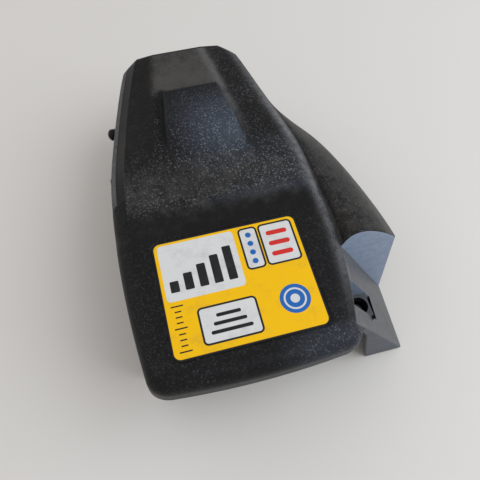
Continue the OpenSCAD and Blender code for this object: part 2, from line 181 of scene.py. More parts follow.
# Screw well, with a gap at its outer end
WELL_OUTER_X = 71.5
WELL_Y = (-20.0, -7.0)
WELL_FLOOR = -27.0
WELL_WALL = 2.0
WELL_MIDDLE = np.array([FRONT_SEAT[0], FRONT_SEAT[1], -18.0])
BELOW_WELL = np.array([FRONT_SEAT[0], FRONT_SEAT[1], -78.0])
BOSS_CLEAR = 0.3
GAP_X = 67.3
GAP_FLOOR = -42.0
GAP_LEVEL = GAP_FLOOR - FRONT_SEAT[2]
GAP_STEP = 0.02
BOSS_TOPS = {"front": WELL_FLOOR - FRONT_SEAT[2], "left": 1.6, "rear": 5.4}

# Lug on the left wall, posts and partition under the roof
LUG = ((-54.2, 79.0, -22.0), (-51.0, 94.0, -17.0))
LUG_BEVEL = 0.6
POSTS = ((-30.0, -18.0), (30.0, -18.0), (0.0, 19.0))
POST_PROFILE = ((1.6, -13.0), (2.0, -12.6), (2.0, -9.0), (3.6, -9.0), (4.0, -8.6), (4.0, -1.2))
PARTITION = ((-38.0, 66.0, -26.0), (38.0, 68.0, -1.2))
PARTITION_BEVEL = 0.3

# Screws, measured along the screw from its seat
THREAD_R = 2.5
THREAD_PITCH = 0.8
THREAD_DEPTH = 0.43
THREAD_L = 14.0
THREAD_TIP = 0.8
NECK_R = 1.95
NECK_L = 19.0
HEAD_LOW = 1.2
HEAD_R = 4.25
HEAD_H = 5.0
# Rounded ends of the knurled head: how far in from its radius, and how far from its underside or its top
HEAD_FOOT = ((0.2, 0.0), (0.0, 0.2))
HEAD_TOP = ((0.08, 0.5), (0.3, 0.15), (0.7, 0.0))
KNURLS = 36
KNURL_DEPTH = 0.1
KNURL_ENDS = (0.5, 0.9)
SOCKET_R = 2.3
SOCKET_DEPTH = 2.6
SOCKET_BEVEL = 0.2
SOCKET_POINT = 0.3
DOME_R = 4.2
DOME_WAIST = 3.5
DOME_H = 7.5
GRIP_GROOVES = (3.1, 4.4)
GROOVE_DEPTH = 0.22
GROOVE_HALF_W = 0.45

# Fineness of the surfaces: counts of steps, and distances in mm between the lines across the roof
# CREASE_END, BAND_END and LEDGE_END are the places of those ends among the points of a wall's profile
CREASE_END = 2
BAND_END = 4
LEDGE_END = 6
ARC_STEPS = 8
WALL_STEPS = 6
SLOPE_STEPS = 12
ARCH_STEPS = 9
ROOF_COLUMNS = 160
INNER_COLUMNS = 40
FACET_ROWS = 12
WELL_ROWS = 9
WELL_STEPS = 128
THREAD_ROWS = 211
DOME_ROWS = 40
SCREW_STEPS = 144
BOSS_STEPS = 48
POST_STEPS = 32
LABEL_CORNER_STEPS = 12
FLOOR_LINES = 21
QUARTER_LINES = 8
INNER_QUARTER_LINES = 5
REAR_RIGHT_LINES = 6
REAR_LEFT_LINES = 9
FOOT_LEAD = 1.0
SKIRT_START = -28.0
FLARE_START = 1.4
FINE_STEP = 0.6
ROOF_STEP = 0.9
BAND_STEP = 0.3
CORNER_CLEAR = 0.4
# Lines of the inner skin: those at the hump are given by their start, end and step
INNER_SKIRT_LINES = (-24.5, WELL_Y[0], -13.5, WELL_Y[1], 2.0)
INNER_FLARE_LINES = (22.0, 33.0, 40.0, 46.0, 52.0, 58.0, 64.0, 70.0)
INNER_HUMP_LINES = (74.0, 134.0, 2.0)
INNER_REAR_LINES = (136.0, 146.0, 153.0, 160.5, 164.0, 166.0)
SHARP_ANGLE = math.radians(34)

# Softened corners: the share of the shorter side that is cut back, and the most for each kind of corner
SOFT_SHARE = 0.45
FREE_CUT = 9.0
CREASE_CUT = 0.6
FLARE_EDGE_CUT = 0.9
BAND_CUT = 0.45

# Looks of the plain surfaces; pale paints a bluish sheen of the window and floor, full on the facet
FACET_LOOK = {"grain": 0.05, "dust": 0.1, "wear": 0.0, "pale": 1.0}
RIM_LOOK = {"grain": 0.1, "dust": 0.3, "wear": 0.3, "pale": 0.2}
INSIDE_LOOK = {"grain": 0.15, "dust": 0.3, "wear": 0.0}
WELL_LOOK = {"grain": 0.2, "dust": 0.9, "wear": 0.0, "pale": 0.1}
WELL_REAR_LOOK = {"grain": 0.2, "dust": 0.3, "wear": 0.0, "pale": 0.85}
FOOT_LOOK = {"grain": 0.12, "dust": 0.25, "wear": 0.2, "pale": 0.2}
FITTING_LOOK = {"grain": 0.2, "dust": 0.35, "wear": 0.0}

# Marks on the outer skin in mm: a fade has its start and length, a patch its middle and reach
CREASE_RUB_W = 3.2
CREASE_RUB_FADES = ((-ROOF_FRONT, 60.0), (100.0, 50.0))
CREASE_RUB_REAR = 0.5
FLARE_RIM_ROWS = 4.0
# Painted shade in the valley behind the label
VALLEY_FADES = ((PANEL_END, 2.0), (48.0, 8.0))
# Painted shade on the hump's steep left side: its grain, pale tops and dust are taken away
HUMP_LEFT_PATCH = (-3.5, 4.5)
HUMP_LEFT_FADES = ((84.0, 14.0), (134.0, 5.0))
# Painted shade on the hump's rounded rear slope
HUMP_BACK_PATCH = (128.5, 7.0)
HUMP_BACK_FADE = (0.0, 3.0)
# Rear ramp: its dust share also paints the light it catches from behind, most near the hump
RAMP_SIDE_FADE = (-6.0, 9.0)
RAMP_FADES = ((129.0, 9.0), (142.0, 22.0))
RAMP_REAR = 0.75
# Pale line along the hump's right foot: wear and dust that also paint the edge's highlight
STREAK_W = 2.6
STREAK_FADE = (84.0, 40.0)
# Painted sheen on the hump's right and front slopes: the window's bluish reflection
HUMP_SHEEN_FADES = ((-22.0, 36.0), (1.0, 4.0))
HUMP_SHEEN_PATCH = (96.0, 34.0)
# Middle of the roof: its extra grain and dust also paint the light on this forward-tilted stretch, and a
# sheen is painted on it
MIDDLE_PATCH = (66.0, 28.0)
MIDDLE_SHEEN_FADE = (-20.0, 50.0)
# Front lip: more pale grain tops and a painted bluish sheen of the window
LIP_FADES = ((5.0, 35.0), (25.0, 7.0))
# Painted shade on the roof's left slope beside the hump
LEFT_SLOPE_FADES = ((0.0, 4.0), (76.0, 24.0))
UPPER_FADE = (48.0, 12.0)
SOIL_FADE = (WELL_Y[1], 6.0)
SOIL = (0.55, 0.7)

# Share of each mark in the outer skin's grain, dust, wear and painted sheen; several of them paint light or
# shade
PLAIN_GRAIN = 0.2
PLAIN_DUST = 0.2
GRAIN_ADDED = {"upper": 0.4, "middle": 0.4, "lip": 0.4}
# The band's low grain paints shade on that left-facing face; the flare's and skirt's are their own finish
GRAIN_SET = {"flare": 0.6, "skirt": 0.15, "band": 0.12}
# Painted shade: grain and its pale tops taken away in the valley, on the hump's left and rear, and on the
# left slope
GRAIN_LOST_TO_PAINTED_SHADE = {"valley_shade": 0.8, "hump_left_shade": 1.0, "hump_back_shade": 0.9, "left_slope_shade": 0.75}
# Dust, which on the middle, ramp, ledge and streak also paints light
DUST_AND_PAINTED_LIGHT_ADDED = {
    "middle": 0.36, "flare": 0.3, "flare_rim": 0.4, "ledge": 0.5, "ramp": 0.74, "streak": 0.4, "soil": 1.0,
}
# Wear: the crease rub is real; on the skirt, ledge and streak it also paints sheen and highlight
WEAR_AND_PAINTED_SHEEN_ADDED = {"rub": 0.95, "flare_rim": 0.25, "streak": 0.4, "skirt": 0.4, "ledge": 0.55}
# Painted bluish sheen of the window and floor
PAINTED_SHEEN_ADDED = {"skirt": 0.07, "hump_sheen": 0.3, "lip": 0.13, "middle_sheen": 0.2}

# Label print in mm about the label's middle, each box with its middle and half size
PRINT_EDGE = 0.06
PRINT_CORNER = 2.0
PRINT_FIELD = ((-15.5, 13.5), (19.5, 15.5))
PRINT_FRAMES = (((-8.0, -17.5), (14.0, 9.0)), ((26.0, 17.0), (8.5, 11.5)), ((11.5, 17.0), (4.5, 11.5)))
FRAME_LINE = 0.5
# Rows of marks: how many, first middle, step, first half size, its growth, corner radius and colour
PRINT_ROWS = (
    (5, (-30.0, 5.5), (7.2, 1.6), (2.2, 3.0), (0.0, 1.6), 0.6, "label_ink"),
    (3, (-8.0, -21.5), (0.0, 4.0), (10.0, 0.9), (-2.0, 0.0), 0.8, "label_ink"),
    (3, (26.0, 11.0), (0.0, 6.0), (5.5, 1.3), (0.0, 0.0), 1.3, "label_red"),
    (4, (11.5, 9.5), (0.0, 5.0), (1.5, 1.5), (0.0, 0.0), 1.5, "label_blue"),
)
DISC_MIDDLE = (24.5, -14.5)
DISC_R = 7.5
DISC_RING_INSET = 2.4
DISC_RING_LINE = 0.45
DISC_DOT_INSET = 5.2
TICKS = 9
TICKS_PER_LONG = 4
TICK_X = -31.0
TICK_START = -27.0
TICK_STEP = 2.8
SHORT_TICK = (1.6, 0.35)
LONG_TICK = (3.0, 0.35)
TICK_CORNER = 0.1
BORDER_HALF = (37.1, 30.6)
BORDER_CORNER = 3.6
BORDER_EDGE = (-0.5, -0.3)

# Stage in metres, and the camera's place in mm about the panel's origin
FLOOR_HALF = 2.5
LAMP_SIZE = 1.2
LAMP_AIM = (0.0, 0.0, 0.04)
WINDOW_SPOT = (0.85, -0.4, 0.95)
ROOM_SPOT = (-1.0, 0.5, 0.9)
SKY = (0.95, 0.97, 1.0)
SKY_STRENGTH = 0.6
BACKDROP = (0.72, 0.72, 0.72)
BACKDROP_STRENGTH = 0.8
CAMERA_SENSOR = 36.0
CAMERA_LENS = 37.5
CAMERA_SPOT = (-23.88, -92.33, 221.54)
CAMERA_DOWN = math.radians(61)
CAMERA_TURN = math.radians(-14.5)


def to_part(points):
    """Points in mm about the panel's origin, as metres in the part's frame."""
    return np.asarray(points, float) * MM + PANEL_ORIGIN


def mix(a, b, t):
    """Straight blend from a to b."""
    return a + (b - a) * t


def smooth(t):
    """Three t squared less two t cubed, with t held between 0 and 1."""
    c = np.clip(t, 0, 1)
    return c * c * (3 - 2 * c)


def bell(t):
    """One less t squared, squared, within one either way of zero, and nothing outside."""
    return np.where(np.abs(t) < 1, (1 - t * t) ** 2, 0)


def rear_corner(y, corner):
    """Shares across and along a rear corner: raised to the squareness, they add up to one."""
    along = np.clip((y - ROOF_REAR) / corner[1] + 1, 0, 1)
    across = (1 - along ** corner[2]) ** (1 / corner[2])
    return across, along


def rounded_box_distance(x, y, half_w, half_l, radius):
    """Distance outside a rectangle with round corners, negative inside."""
    dx = np.abs(x) - (half_w - radius)
    dy = np.abs(y) - (half_l - radius)
    outside = np.hypot(np.maximum(dx, 0), np.maximum(dy, 0))
    return outside + np.minimum(np.maximum(dx, dy), 0) - radius


def wall_run(o, z, lean, rim, steps):
    """Straight wall from outward o at height z down to the rim, leaning out by lean for each mm down."""
    share = np.arange(1, steps + 1) / steps
    h = (z - rim)[:, None] * share
    return np.stack([o[:, None] + lean[:, None] * h, z[:, None] - h], axis=-1)


def bezier(a, b, c, d, t):
    """Cubic curve from a to d, drawn towards b and c."""
    s = 1 - t
    return s ** 3 * a + 3 * s * s * t * b + 3 * s * t * t * c + t ** 3 * d


def unit(v):
    """Vectors of length one along the last axis."""
    return v / np.maximum(np.linalg.norm(v, axis=-1, keepdims=True), 1e-9)


def inset(profile, amount):
    """Mitred inset of wall profiles: the first point moves straight down, and the last stays level."""
    amount = np.broadcast_to(amount, profile.shape[:1])[:, None]
    along = unit(np.diff(profile, axis=1))
    normal = np.stack([along[..., 1], -along[..., 0]], axis=-1)
    a = normal[:, :-1]
    b = normal[:, 1:]
    middle = profile[:, 1:-1] + (a + b) * (amount / (1 + (a * b).sum(-1)))[..., None]
    first = profile[:, :1] - np.stack([amount * 0, amount], axis=-1)
    last = profile[:, -1] + normal[:, -1] * amount
    slide = (profile[:, -1, 1] - last[:, 1]) / along[:, -1, 1]
    last = last + along[:, -1] * slide[:, None]
    return np.concatenate([first, middle, last[:, None]], axis=1)


def soften(profile, limit):
    """Each corner of a profile becomes a short curve of three points, cut back by at most its limit."""
    corner = profile[:, 1:-1]
    back = profile[:, :-2] - corner
    ahead = profile[:, 2:] - corner
    shorter = np.minimum(np.linalg.norm(back, axis=-1), np.linalg.norm(ahead, axis=-1))
    cut = np.minimum(SOFT_SHARE * shorter, limit)[..., None]
    a = corner + unit(back) * cut
    b = corner + unit(ahead) * cut
    fine = np.stack([a, (a + 2 * corner + b) / 4, b], axis=2)
    fine = fine.reshape(len(profile), -1, profile.shape[-1])
    return np.concatenate([profile[:, :1], fine, profile[:, -1:]], axis=1)


def softened(corner):
    """Place of a profile's corner among the points that soften makes."""
    return 3 * corner - 1


def fade(value, mark):
    """Smooth rise of a value from the mark's start over its length."""
    start, run = mark
    return smooth((value - start) / run)


def patch(value, mark):
    """Bell of a value about the mark's middle, within its reach."""
    middle, reach = mark
    return bell((value - middle) / reach)


def edge_round(distance, radius):
    """How far a round end stands back at a distance from its face: radius less a circle's half chord."""
    d = radius - np.clip(distance, 0, radius)
    return radius - np.sqrt(radius * radius - d * d)


class CoverShape:
    """Formulas of the moulded cover in mm about the panel's origin: plan, roof and wall profiles."""

    def __init__(self, sizes):
        self.height = sizes.panel_height / MM
        self.wall = sizes.wall / MM
        self.hump_rise = sizes.hump_rise / MM
        self.edge_r = sizes.edge_radius / MM
        half_w = sizes.label_width / MM / 2
        half_l = sizes.label_length / MM / 2
        self.pocket_half = (half_w + POCKET_BORDER, half_l + POCKET_BORDER)
        self.pocket_r = sizes.label_corner / MM + POCKET_BORDER

    def crease_x(self, y):
        """Right side in plan: its reach less the squared distance from the widest place over a bend."""
        bend = np.where(y < WIDEST_Y, RIGHT_FRONT_BEND, RIGHT_REAR_BEND)
        return RIGHT_REACH - (y - WIDEST_Y) ** 2 / bend

    def left_x(self, y):
        """Left side in plan, by the same rule."""
        bend = np.where(y < WIDEST_Y, LEFT_FRONT_BEND, LEFT_REAR_BEND)
        return LEFT_REACH - (y - WIDEST_Y) ** 2 / bend

    def front_corner(self, y):
        """Round front corner in plan: the radius less a circle's half chord."""
        return edge_round(y + ROOF_FRONT, FRONT_CORNER_R)

    def roof_right(self, y):
        """Right edge of the roof, inside the crease and the two corners."""
        across, _ = rear_corner(y, REAR_RIGHT_CORNER)
        return self.crease_x(y) - CREASE_W / 2 - self.front_corner(y) - REAR_RIGHT_CORNER[0] * (1 - across)

    def roof_left(self, y):
        """Left edge of the roof, inside the rounded edge and the two corners."""
        across, _ = rear_corner(y, REAR_LEFT_CORNER)
        return self.left_x(y) - LEFT_EDGE_W - self.front_corner(y) - REAR_LEFT_CORNER[0] * (1 - across)

    def ridge(self, x, y):
        """Distance of the hump's foot line from the middle: straight lines that spread to the front."""
        rear = ROOF_REAR - y
        left = np.minimum(RIDGE_LEFT[0] + RIDGE_LEFT[1] * rear, RIDGE_SHARE * self.roof_left(y))
        right = np.minimum(RIDGE_RIGHT[0] + RIDGE_RIGHT[1] * rear, RIDGE_SHARE * self.roof_right(y))
        return np.where(x < 0, left, right)

    def roof_z(self, x, y, inset_by=0.0):
        """Height of the roof: the ramp and valley along it, less the falling sides, plus the hump."""
        ramp = RAMP_RISE * smooth((y - RAMP_START) / RAMP_L) - VALLEY_FALL * bell((y - VALLEY_Y) / VALLEY_L)
        ridge = self.ridge(x, y)
        edge = np.where(x < 0, self.roof_left(y), self.roof_right(y))
        past = np.abs(x) - ridge
        sink = RIDGE_SOFT * np.exp(-(past / RIDGE_SOFT_REACH) ** 2)
        past = (past + np.hypot(past, RIDGE_SOFT) - sink) / 2
        lift = 1 - REAR_LIFT * smooth((y - REAR_LIFT_START) / REAR_LIFT_L)
        fall = SIDE_FALL * smooth((y - FALL_START) / FALL_L) * lift * np.clip(past / (edge - ridge), 0, 1)
        return np.where(y < PANEL_END, 0, ramp - fall + self.hump_z(x, y, ridge, inset_by))

    def hump_z(self, x, y, ridge, inset_by):
        """Hump: side and rear slopes that meet in round corners, times a front slope bowed at the sides."""
        foot = ridge - np.where(x < 0, *HUMP_MARGIN) - inset_by
        across = (foot - np.abs(x)) / np.where(x < 0, *HUMP_SIDE)
        back = (HUMP_REAR + HUMP_REAR_L - inset_by - y) / HUMP_REAR_L
        edge = 1 - np.hypot(np.maximum(0, 1 - across), np.maximum(0, 1 - back))
        bow = HUMP_BOW * np.minimum(1, (x / foot) ** 2)
        front = (y - HUMP_FRONT - inset_by - bow) / (HUMP_FRONT_L - bow)
        return self.hump_rise * smooth(front) * smooth(edge)

    def pocket_z(self, x, y):
        """Depth of the label's pocket: full inside its rounded outline, with a short slope around it."""
        away = rounded_box_distance(x, y - LABEL_Y, *self.pocket_half, self.pocket_r)
        return -POCKET_DEPTH * (1 - smooth(away / POCKET_SLOPE + 0.5))

    def side_rim(self, y):
        """Base rim along a side: level, then rising to the rear."""
        return -self.height + SIDE_RIM_RISE * smooth((y - RIM_RISE[0]) / (RIM_RISE[1] - RIM_RISE[0]))

    def round_edge(self, w, fall, z, lean, rim):
        """Quarter ellipse from the roof's edge, then a straight wall to the rim."""
        angle = np.linspace(0, math.pi / 2, ARC_STEPS + 1)
        out = w * np.sin(angle) + 0 * z[:, None]
        down = fall * (1 - np.cos(angle))
        arc = np.stack([out, z[:, None] - down], axis=-1)
        run = wall_run(w + 0 * z, z - fall, lean + 0 * z, rim + 0 * z, WALL_STEPS)
        return np.concatenate([arc, run], axis=1)

    def front_wall(self, z):
        """Front lip under a full round edge."""
        return self.round_edge(FRONT_ROUND, FRONT_ROUND, z, FRONT_LEAN, -LIP_DEPTH)

    def rear_wall(self, z):
        """Rear wall under a small round edge."""
        return self.round_edge(REAR_ROUND, REAR_ROUND, z, 0.0, SIDE_RIM_RISE - self.height)

    def band_wall(self, z, rim):
        """Left side behind the step: a flat sloped band, a narrow ledge, then the wall."""
        share = np.linspace(0, 1, BAND_END + 1)
        band = np.stack([BAND_W * share, -BAND_FALL * share], axis=-1)
        ledge = np.array([
            [(BAND_W + LEDGE_W) / 2, -(BAND_FALL + LEDGE_FALL) / 2],
            [LEDGE_W, -LEDGE_FALL],
            [(LEDGE_W + LEFT_EDGE_W) / 2, -(LEDGE_FALL + LEFT_EDGE_FALL) / 2],
            [LEFT_EDGE_W, -LEFT_EDGE_FALL],
        ])
        top = np.concatenate([band, ledge])[None] + np.stack([0 * z, z], axis=-1)[:, None]
        run = wall_run(LEFT_EDGE_W + 0 * z, z - LEFT_EDGE_FALL, LEFT_LEAN + 0 * z, rim, WALL_STEPS)
        return np.concatenate([top, run], axis=1)

    def left_profile(self, y, z, inside):
        """Left side: round front edge, then the sloped band after an oblique step."""
        reach = smooth((y - LEFT_RIM[0]) / (LEFT_RIM[1] - LEFT_RIM[0]))
        rim = mix(-LIP_DEPTH, self.side_rim(y), reach)
        rounded = self.round_edge(LEFT_EDGE_W, LEFT_EDGE_FALL, z, LEFT_LEAN, rim)
        band = self.band_wall(z, rim)
        share = np.clip(np.arange(band.shape[1]) / ARC_STEPS, 0, 1)
        start = BAND_START - BAND_SKEW * (share - 0.5) - BAND_STEP_L / 2
        stepped = np.ones((len(y), band.shape[1]))
        if not inside:
            stepped = smooth((y[:, None] - start) / BAND_STEP_L)
        side = mix(rounded, band, stepped[..., None])
        front = np.clip((y + ROOF_FRONT) / FRONT_CORNER_R, 0, 1)
        return mix(self.front_wall(z), side, front[:, None, None])

    def crease(self, z):
        """Rounded top edge of the right side."""
        points = np.array([[0, 0], [CREASE_W / 2, -CREASE_FALL * CREASE_BOW], [CREASE_W, -CREASE_FALL]])
        return points[None] + np.stack([0 * z, z], axis=-1)[:, None]

    def skirt_slope(self, y):
        """Outer edge of the crease in plan, and how far the skirt leans out from it for each mm down."""
        edge_x = self.roof_right(y) + CREASE_W
        foot_x = mix(SKIRT_FRONT_RIM, RIM_REACH, (y + FOOT_Y) / (FOOT_Y + FACET_Y))
        return edge_x, (foot_x - edge_x) / (self.height - CREASE_FALL)

    def skirt_wall(self, y, z, rim, split):
        """Skirt: a straight slope from the crease to a rim, split by a point at the well's outer end."""
        top_o = CREASE_W + 0 * z
        top_z = z - CREASE_FALL
        edge_x, lean = self.skirt_slope(y)
        if not split:
            run = wall_run(top_o, top_z, lean, rim + 0 * z, SLOPE_STEPS)
            return np.concatenate([self.crease(z), run], axis=1)
        to_well = WELL_OUTER_X - edge_x
        well_z = top_z - to_well / lean
        upper = wall_run(top_o, top_z, lean, well_z, SLOPE_STEPS // 2)
        lower = wall_run(top_o + to_well, well_z, lean, rim + 0 * z, SLOPE_STEPS // 2)
        return np.concatenate([self.crease(z), upper, lower], axis=1)

    def flare_wall(self, y, z):
        """Flare: a cubic arch from the crease to the outer edge, then a straight outer wall."""
        u = np.clip((y - FACET_Y) / FLARE_LENGTH, 0, 1)
        width = FLARE_W * (1 - FLARE_NARROWING * u) * (1 - u ** FLARE_END_POWER)
        edge_o = CREASE_W / 2 + np.maximum(FLARE_MIN_W, width)
        edge_z = np.minimum(z - CREASE_FALL - 1, -FLARE_EDGE_FALL - FLARE_REAR_FALL * u)
        root = np.stack([CREASE_W + 0 * z, z - CREASE_FALL], axis=-1)[:, None]
        edge = np.stack([edge_o, edge_z], axis=-1)[:, None]
        arch = ((1 - u) ** ARCH_TAPER * FLARE_ARCH)[:, None, None]
        t = (np.arange(1, ARCH_STEPS + 1) / ARCH_STEPS)[None, :, None]
        shoulder = bezier(root, root + ARCH_ROOT_PULL * arch, edge + ARCH_EDGE_PULL * arch, edge, t)
        front_edge = CREASE_W / 2 + FLARE_W
        front_reach = RIM_REACH - self.roof_right(np.array([FACET_Y]))[0] - front_edge
        lean = front_reach / (self.height - FLARE_EDGE_FALL)
        run = wall_run(edge_o, edge_z, lean + 0 * z, self.side_rim(y), SLOPE_STEPS - ARCH_STEPS)
        return np.concatenate([self.crease(z), shoulder, run], axis=1)

    def right_profile(self, y, z, inset_by):
        """Right side: the notch behind the front corner, the skirt, then the flare, narrower inside."""
        lead_share = np.clip((y + ROOF_FRONT) / (ROOF_FRONT - FOOT_Y), 0, 1)[:, None, None]
        notch = self.skirt_wall(np.full_like(y, -FOOT_Y), z, -NOTCH_DEPTH, False)
        lead = mix(self.front_wall(z), notch, lead_share)
        skirt = self.skirt_wall(y, z, -self.height, True)
        flare = self.flare_wall(y + inset_by, z)
        below = slice(CREASE_END + 1, None)
        skirt[:, below] = inset(skirt, edge_round(y + FOOT_Y, self.edge_r))[:, below]
        flare[:, below] = inset(flare, edge_round(y - FACET_Y, self.edge_r))[:, below]
        before_foot = (y < -FOOT_Y)[:, None, None]
        before_facet = (y < FACET_Y)[:, None, None]
        return np.where(before_foot, lead, np.where(before_facet, skirt, flare))

    def side_offsets(self, y, z, side, inset_by):
        """Wall points of a side about the roof's edge: its profile turns with the front corner, and at the
        rear corner it shrinks across while the rear wall's profile grows along."""
        own = self.right_profile(y, z, inset_by) if side > 0 else self.left_profile(y, z, inset_by > 0)
        own = inset(own, inset_by)
        rear = inset(self.rear_wall(z), inset_by)
        corner = REAR_RIGHT_CORNER if side > 0 else REAR_LEFT_CORNER
        across, along = rear_corner(y, corner)
        front = np.arccos(np.clip((FRONT_CORNER_R - y - ROOF_FRONT) / FRONT_CORNER_R, 0, 1))
        out_x = side * (np.sin(front) * across)[:, None] * own[..., 0]
        out_y = along[:, None] * rear[..., 0] - np.cos(front)[:, None] * own[..., 0]
        out_z = mix(own[..., 1], rear[..., 1], (along ** corner[2])[:, None])
        return np.stack([out_x, out_y, out_z], axis=-1)

    def skin(self, stations, columns, inset_by):
        """Roof grid and walls around it: outward wall profiles are carried along the roof's edge.

        The ring runs along the front from left to right, rearwards on the right, along the rear and
        forwards on the left. Returned are the roof's points, the ring's rows and columns in the roof, and
        the wall points.
        """
        share = np.linspace(0, 1, columns + 1)
        left = self.roof_left(stations)[:, None]
        right = self.roof_right(stations)[:, None]
        x = -left + share * (left + right)
        y = stations[:, None] + 0 * x
        z = self.roof_z(x, y)
        bow = FRONT_BOW * (x / RIGHT_REACH) ** 2 * (1 - np.clip((y + ROOF_FRONT) / FRONT_CORNER_R, 0, 1))
        last = len(stations) - 1
        rows = np.concatenate([
            np.zeros(columns, int), np.arange(last), np.full(columns, last), np.arange(last, 0, -1),
        ])
        cols = np.concatenate([
            np.arange(columns), np.full(last, columns), np.arange(columns, 0, -1), np.zeros(last, int),
        ])
        front_z = z[0, :columns]
        right_z = z[:last, columns]
        rear_z = z[last, columns:0:-1]
        left_z = z[last:0:-1, 0]
        front = inset(self.front_wall(front_z), inset_by)
        rear = inset(self.rear_wall(rear_z), inset_by)
        offsets = np.concatenate([
            np.stack([0 * front[..., 0], -front[..., 0], front[..., 1]], axis=-1),
            self.side_offsets(stations[:last], right_z, 1, inset_by),
            np.stack([0 * rear[..., 0], rear[..., 0], rear[..., 1]], axis=-1),
            self.side_offsets(stations[last:0:-1], left_z, -1, inset_by),
        ])
        edge = np.stack([x, y + bow, 0 * z], axis=-1)[rows, cols]
        roof = np.stack([x, y + bow, self.roof_z(x, y, inset_by) - inset_by], axis=-1)
        if not inset_by:
            roof[..., 2] += self.pocket_z(x, roof[..., 1])
        return roof, (rows, cols), edge[:, None] + offsets


def grid_faces(rows, columns, wrap=False):
    """Quads of a grid of points stored row by row; with wrap the last column joins the first."""
    i = np.arange(rows - 1)[:, None] * columns
    j = np.arange(columns if wrap else columns - 1)[None, :]
    k = (j + 1) % columns
    return np.stack([i + j, i + k, i + k + columns, i + j + columns], axis=-1).reshape(-1, 4)


def face_normals(points, faces):
    """Normals of quads from the cross product of their diagonals."""
    p = points[faces]
    return np.cross(p[:, 2] - p[:, 0], p[:, 3] - p[:, 1])


def turned(points, faces, centre, outwards):
    """Quads turned round where they face the wrong way as seen from a point inside the piece."""
    middle = points[faces].mean(axis=1)
    away = (face_normals(points, faces) * (middle - np.asarray(centre))).sum(-1) > 0
    return np.where((away == outwards)[:, None], faces, faces[:, ::-1])


def joined(parts):
    """One list of points, one of faces and one set of attributes from several parts."""
    points = np.concatenate([own for own, _, _ in parts])
    starts = np.cumsum([0] + [len(own) for own, _, _ in parts[:-1]])
    faces = []
    for (_, own, _), start in zip(parts, starts):
        faces.extend([int(start + k) for k in face] for face in own)
    values = {}
    for name in sorted({name for _, _, look in parts for name in look}):
        shares = [np.broadcast_to(look.get(name, 0.0), len(own)) for own, _, look in parts]
        values[name] = np.concatenate(shares)
    return points, faces, values


def add_piece(name, parts, body, material, replaced=()):
    """Puts parts in mm into one mesh object that rides a body of the frame."""
    points, faces, values = joined(parts)
    mesh = bpy.data.meshes.new(name)
    mesh.from_pydata(to_part(points), [], faces)
    for key, value in values.items():
        mesh.attributes.new(key, "FLOAT", "POINT").data.foreach_set("value", value.astype(np.float32))
    mesh.update()
    mesh.shade_smooth()
    mesh.set_sharp_from_angle(angle=SHARP_ANGLE)
    mesh.materials.append(material)
    piece = bpy.data.objects.new(name, mesh)
    bpy.context.scene.collection.objects.link(piece)
    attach(piece, body)
    if replaced:
        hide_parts(*replaced)
    return piece


def punched(points, faces, centre, radius, axes):
    """Round hole in a fine grid: faces inside it go, and the points on its edge move onto the circle."""
    axes = list(axes)
    flat = points[:, axes] - centre[axes]
    middle = points[faces].mean(axis=1)
    gone = np.linalg.norm(middle[:, axes] - centre[axes], axis=-1) < radius
    gone &= np.linalg.norm(middle - centre, axis=-1) < HOLE_REACH * radius
    rim = np.intersect1d(faces[gone], faces[~gone])
    points = points.copy()
    points[np.ix_(rim, axes)] = centre[axes] + radius * unit(flat[rim])
    return points, faces[~gone]


def spun(radii, heights, seat, axis, first_pole=None, last_pole=None):
    """Surface round an axis through a seat: each row has a height and a radius for every step of the turn.

    A pole's height closes the first or last row with a fan.
    """
    axis = np.asarray(axis, float)
    seat = np.asarray(seat, float)
    side = np.cross(axis, [0.0, 0.0, 1.0] if abs(axis[1]) > 0.5 else [0.0, 1.0, 0.0])
    other = np.cross(axis, side)
    rows, steps = radii.shape
    angle = np.linspace(0, 2 * math.pi, steps, endpoint=False)
    ring = np.cos(angle)[:, None] * side + np.sin(angle)[:, None] * other
    along = np.asarray(heights, float)[:, None, None] * axis
    points = (radii[..., None] * ring + along + seat).reshape(-1, 3)
    faces = list(grid_faces(rows, steps, wrap=True))
    here = np.arange(steps)
    edge = np.stack([here, (here + 1) % steps], axis=-1)
    for pole, rim in ((first_pole, edge[:, ::-1]), (last_pole, edge + (rows - 1) * steps)):
        if pole is not None:
            faces.extend(np.concatenate([rim, np.full((steps, 1), len(points))], axis=1))
            points = np.concatenate([points, [seat + pole * axis]])
    return points, faces


def turned_profile(profile, seat, axis, steps, first_pole=None):
    """Surface of revolution of (radius, height) points about an axis through a seat."""
    radii, heights = np.asarray(profile, float).T
    return spun(np.repeat(radii[:, None], steps, axis=1), heights, seat, axis, first_pole)


def domed_head(angle):
    """Heights, radii and pole of a dome: a straight waist under a round top, less a bell at each groove."""
    heights = HEAD_LOW + DOME_H * np.sin(np.linspace(0, math.pi / 2, DOME_ROWS))[:-1]
    round_r = np.sqrt(np.maximum(0, DOME_R ** 2 - (heights - HEAD_LOW - DOME_H + DOME_R) ** 2))
    grooves = sum(GROOVE_DEPTH * bell((heights - middle) / GROOVE_HALF_W) for middle in GRIP_GROOVES)
    radii = (np.minimum(DOME_WAIST, round_r) - grooves)[:, None] + 0 * angle
    return heights, radii, HEAD_LOW + DOME_H


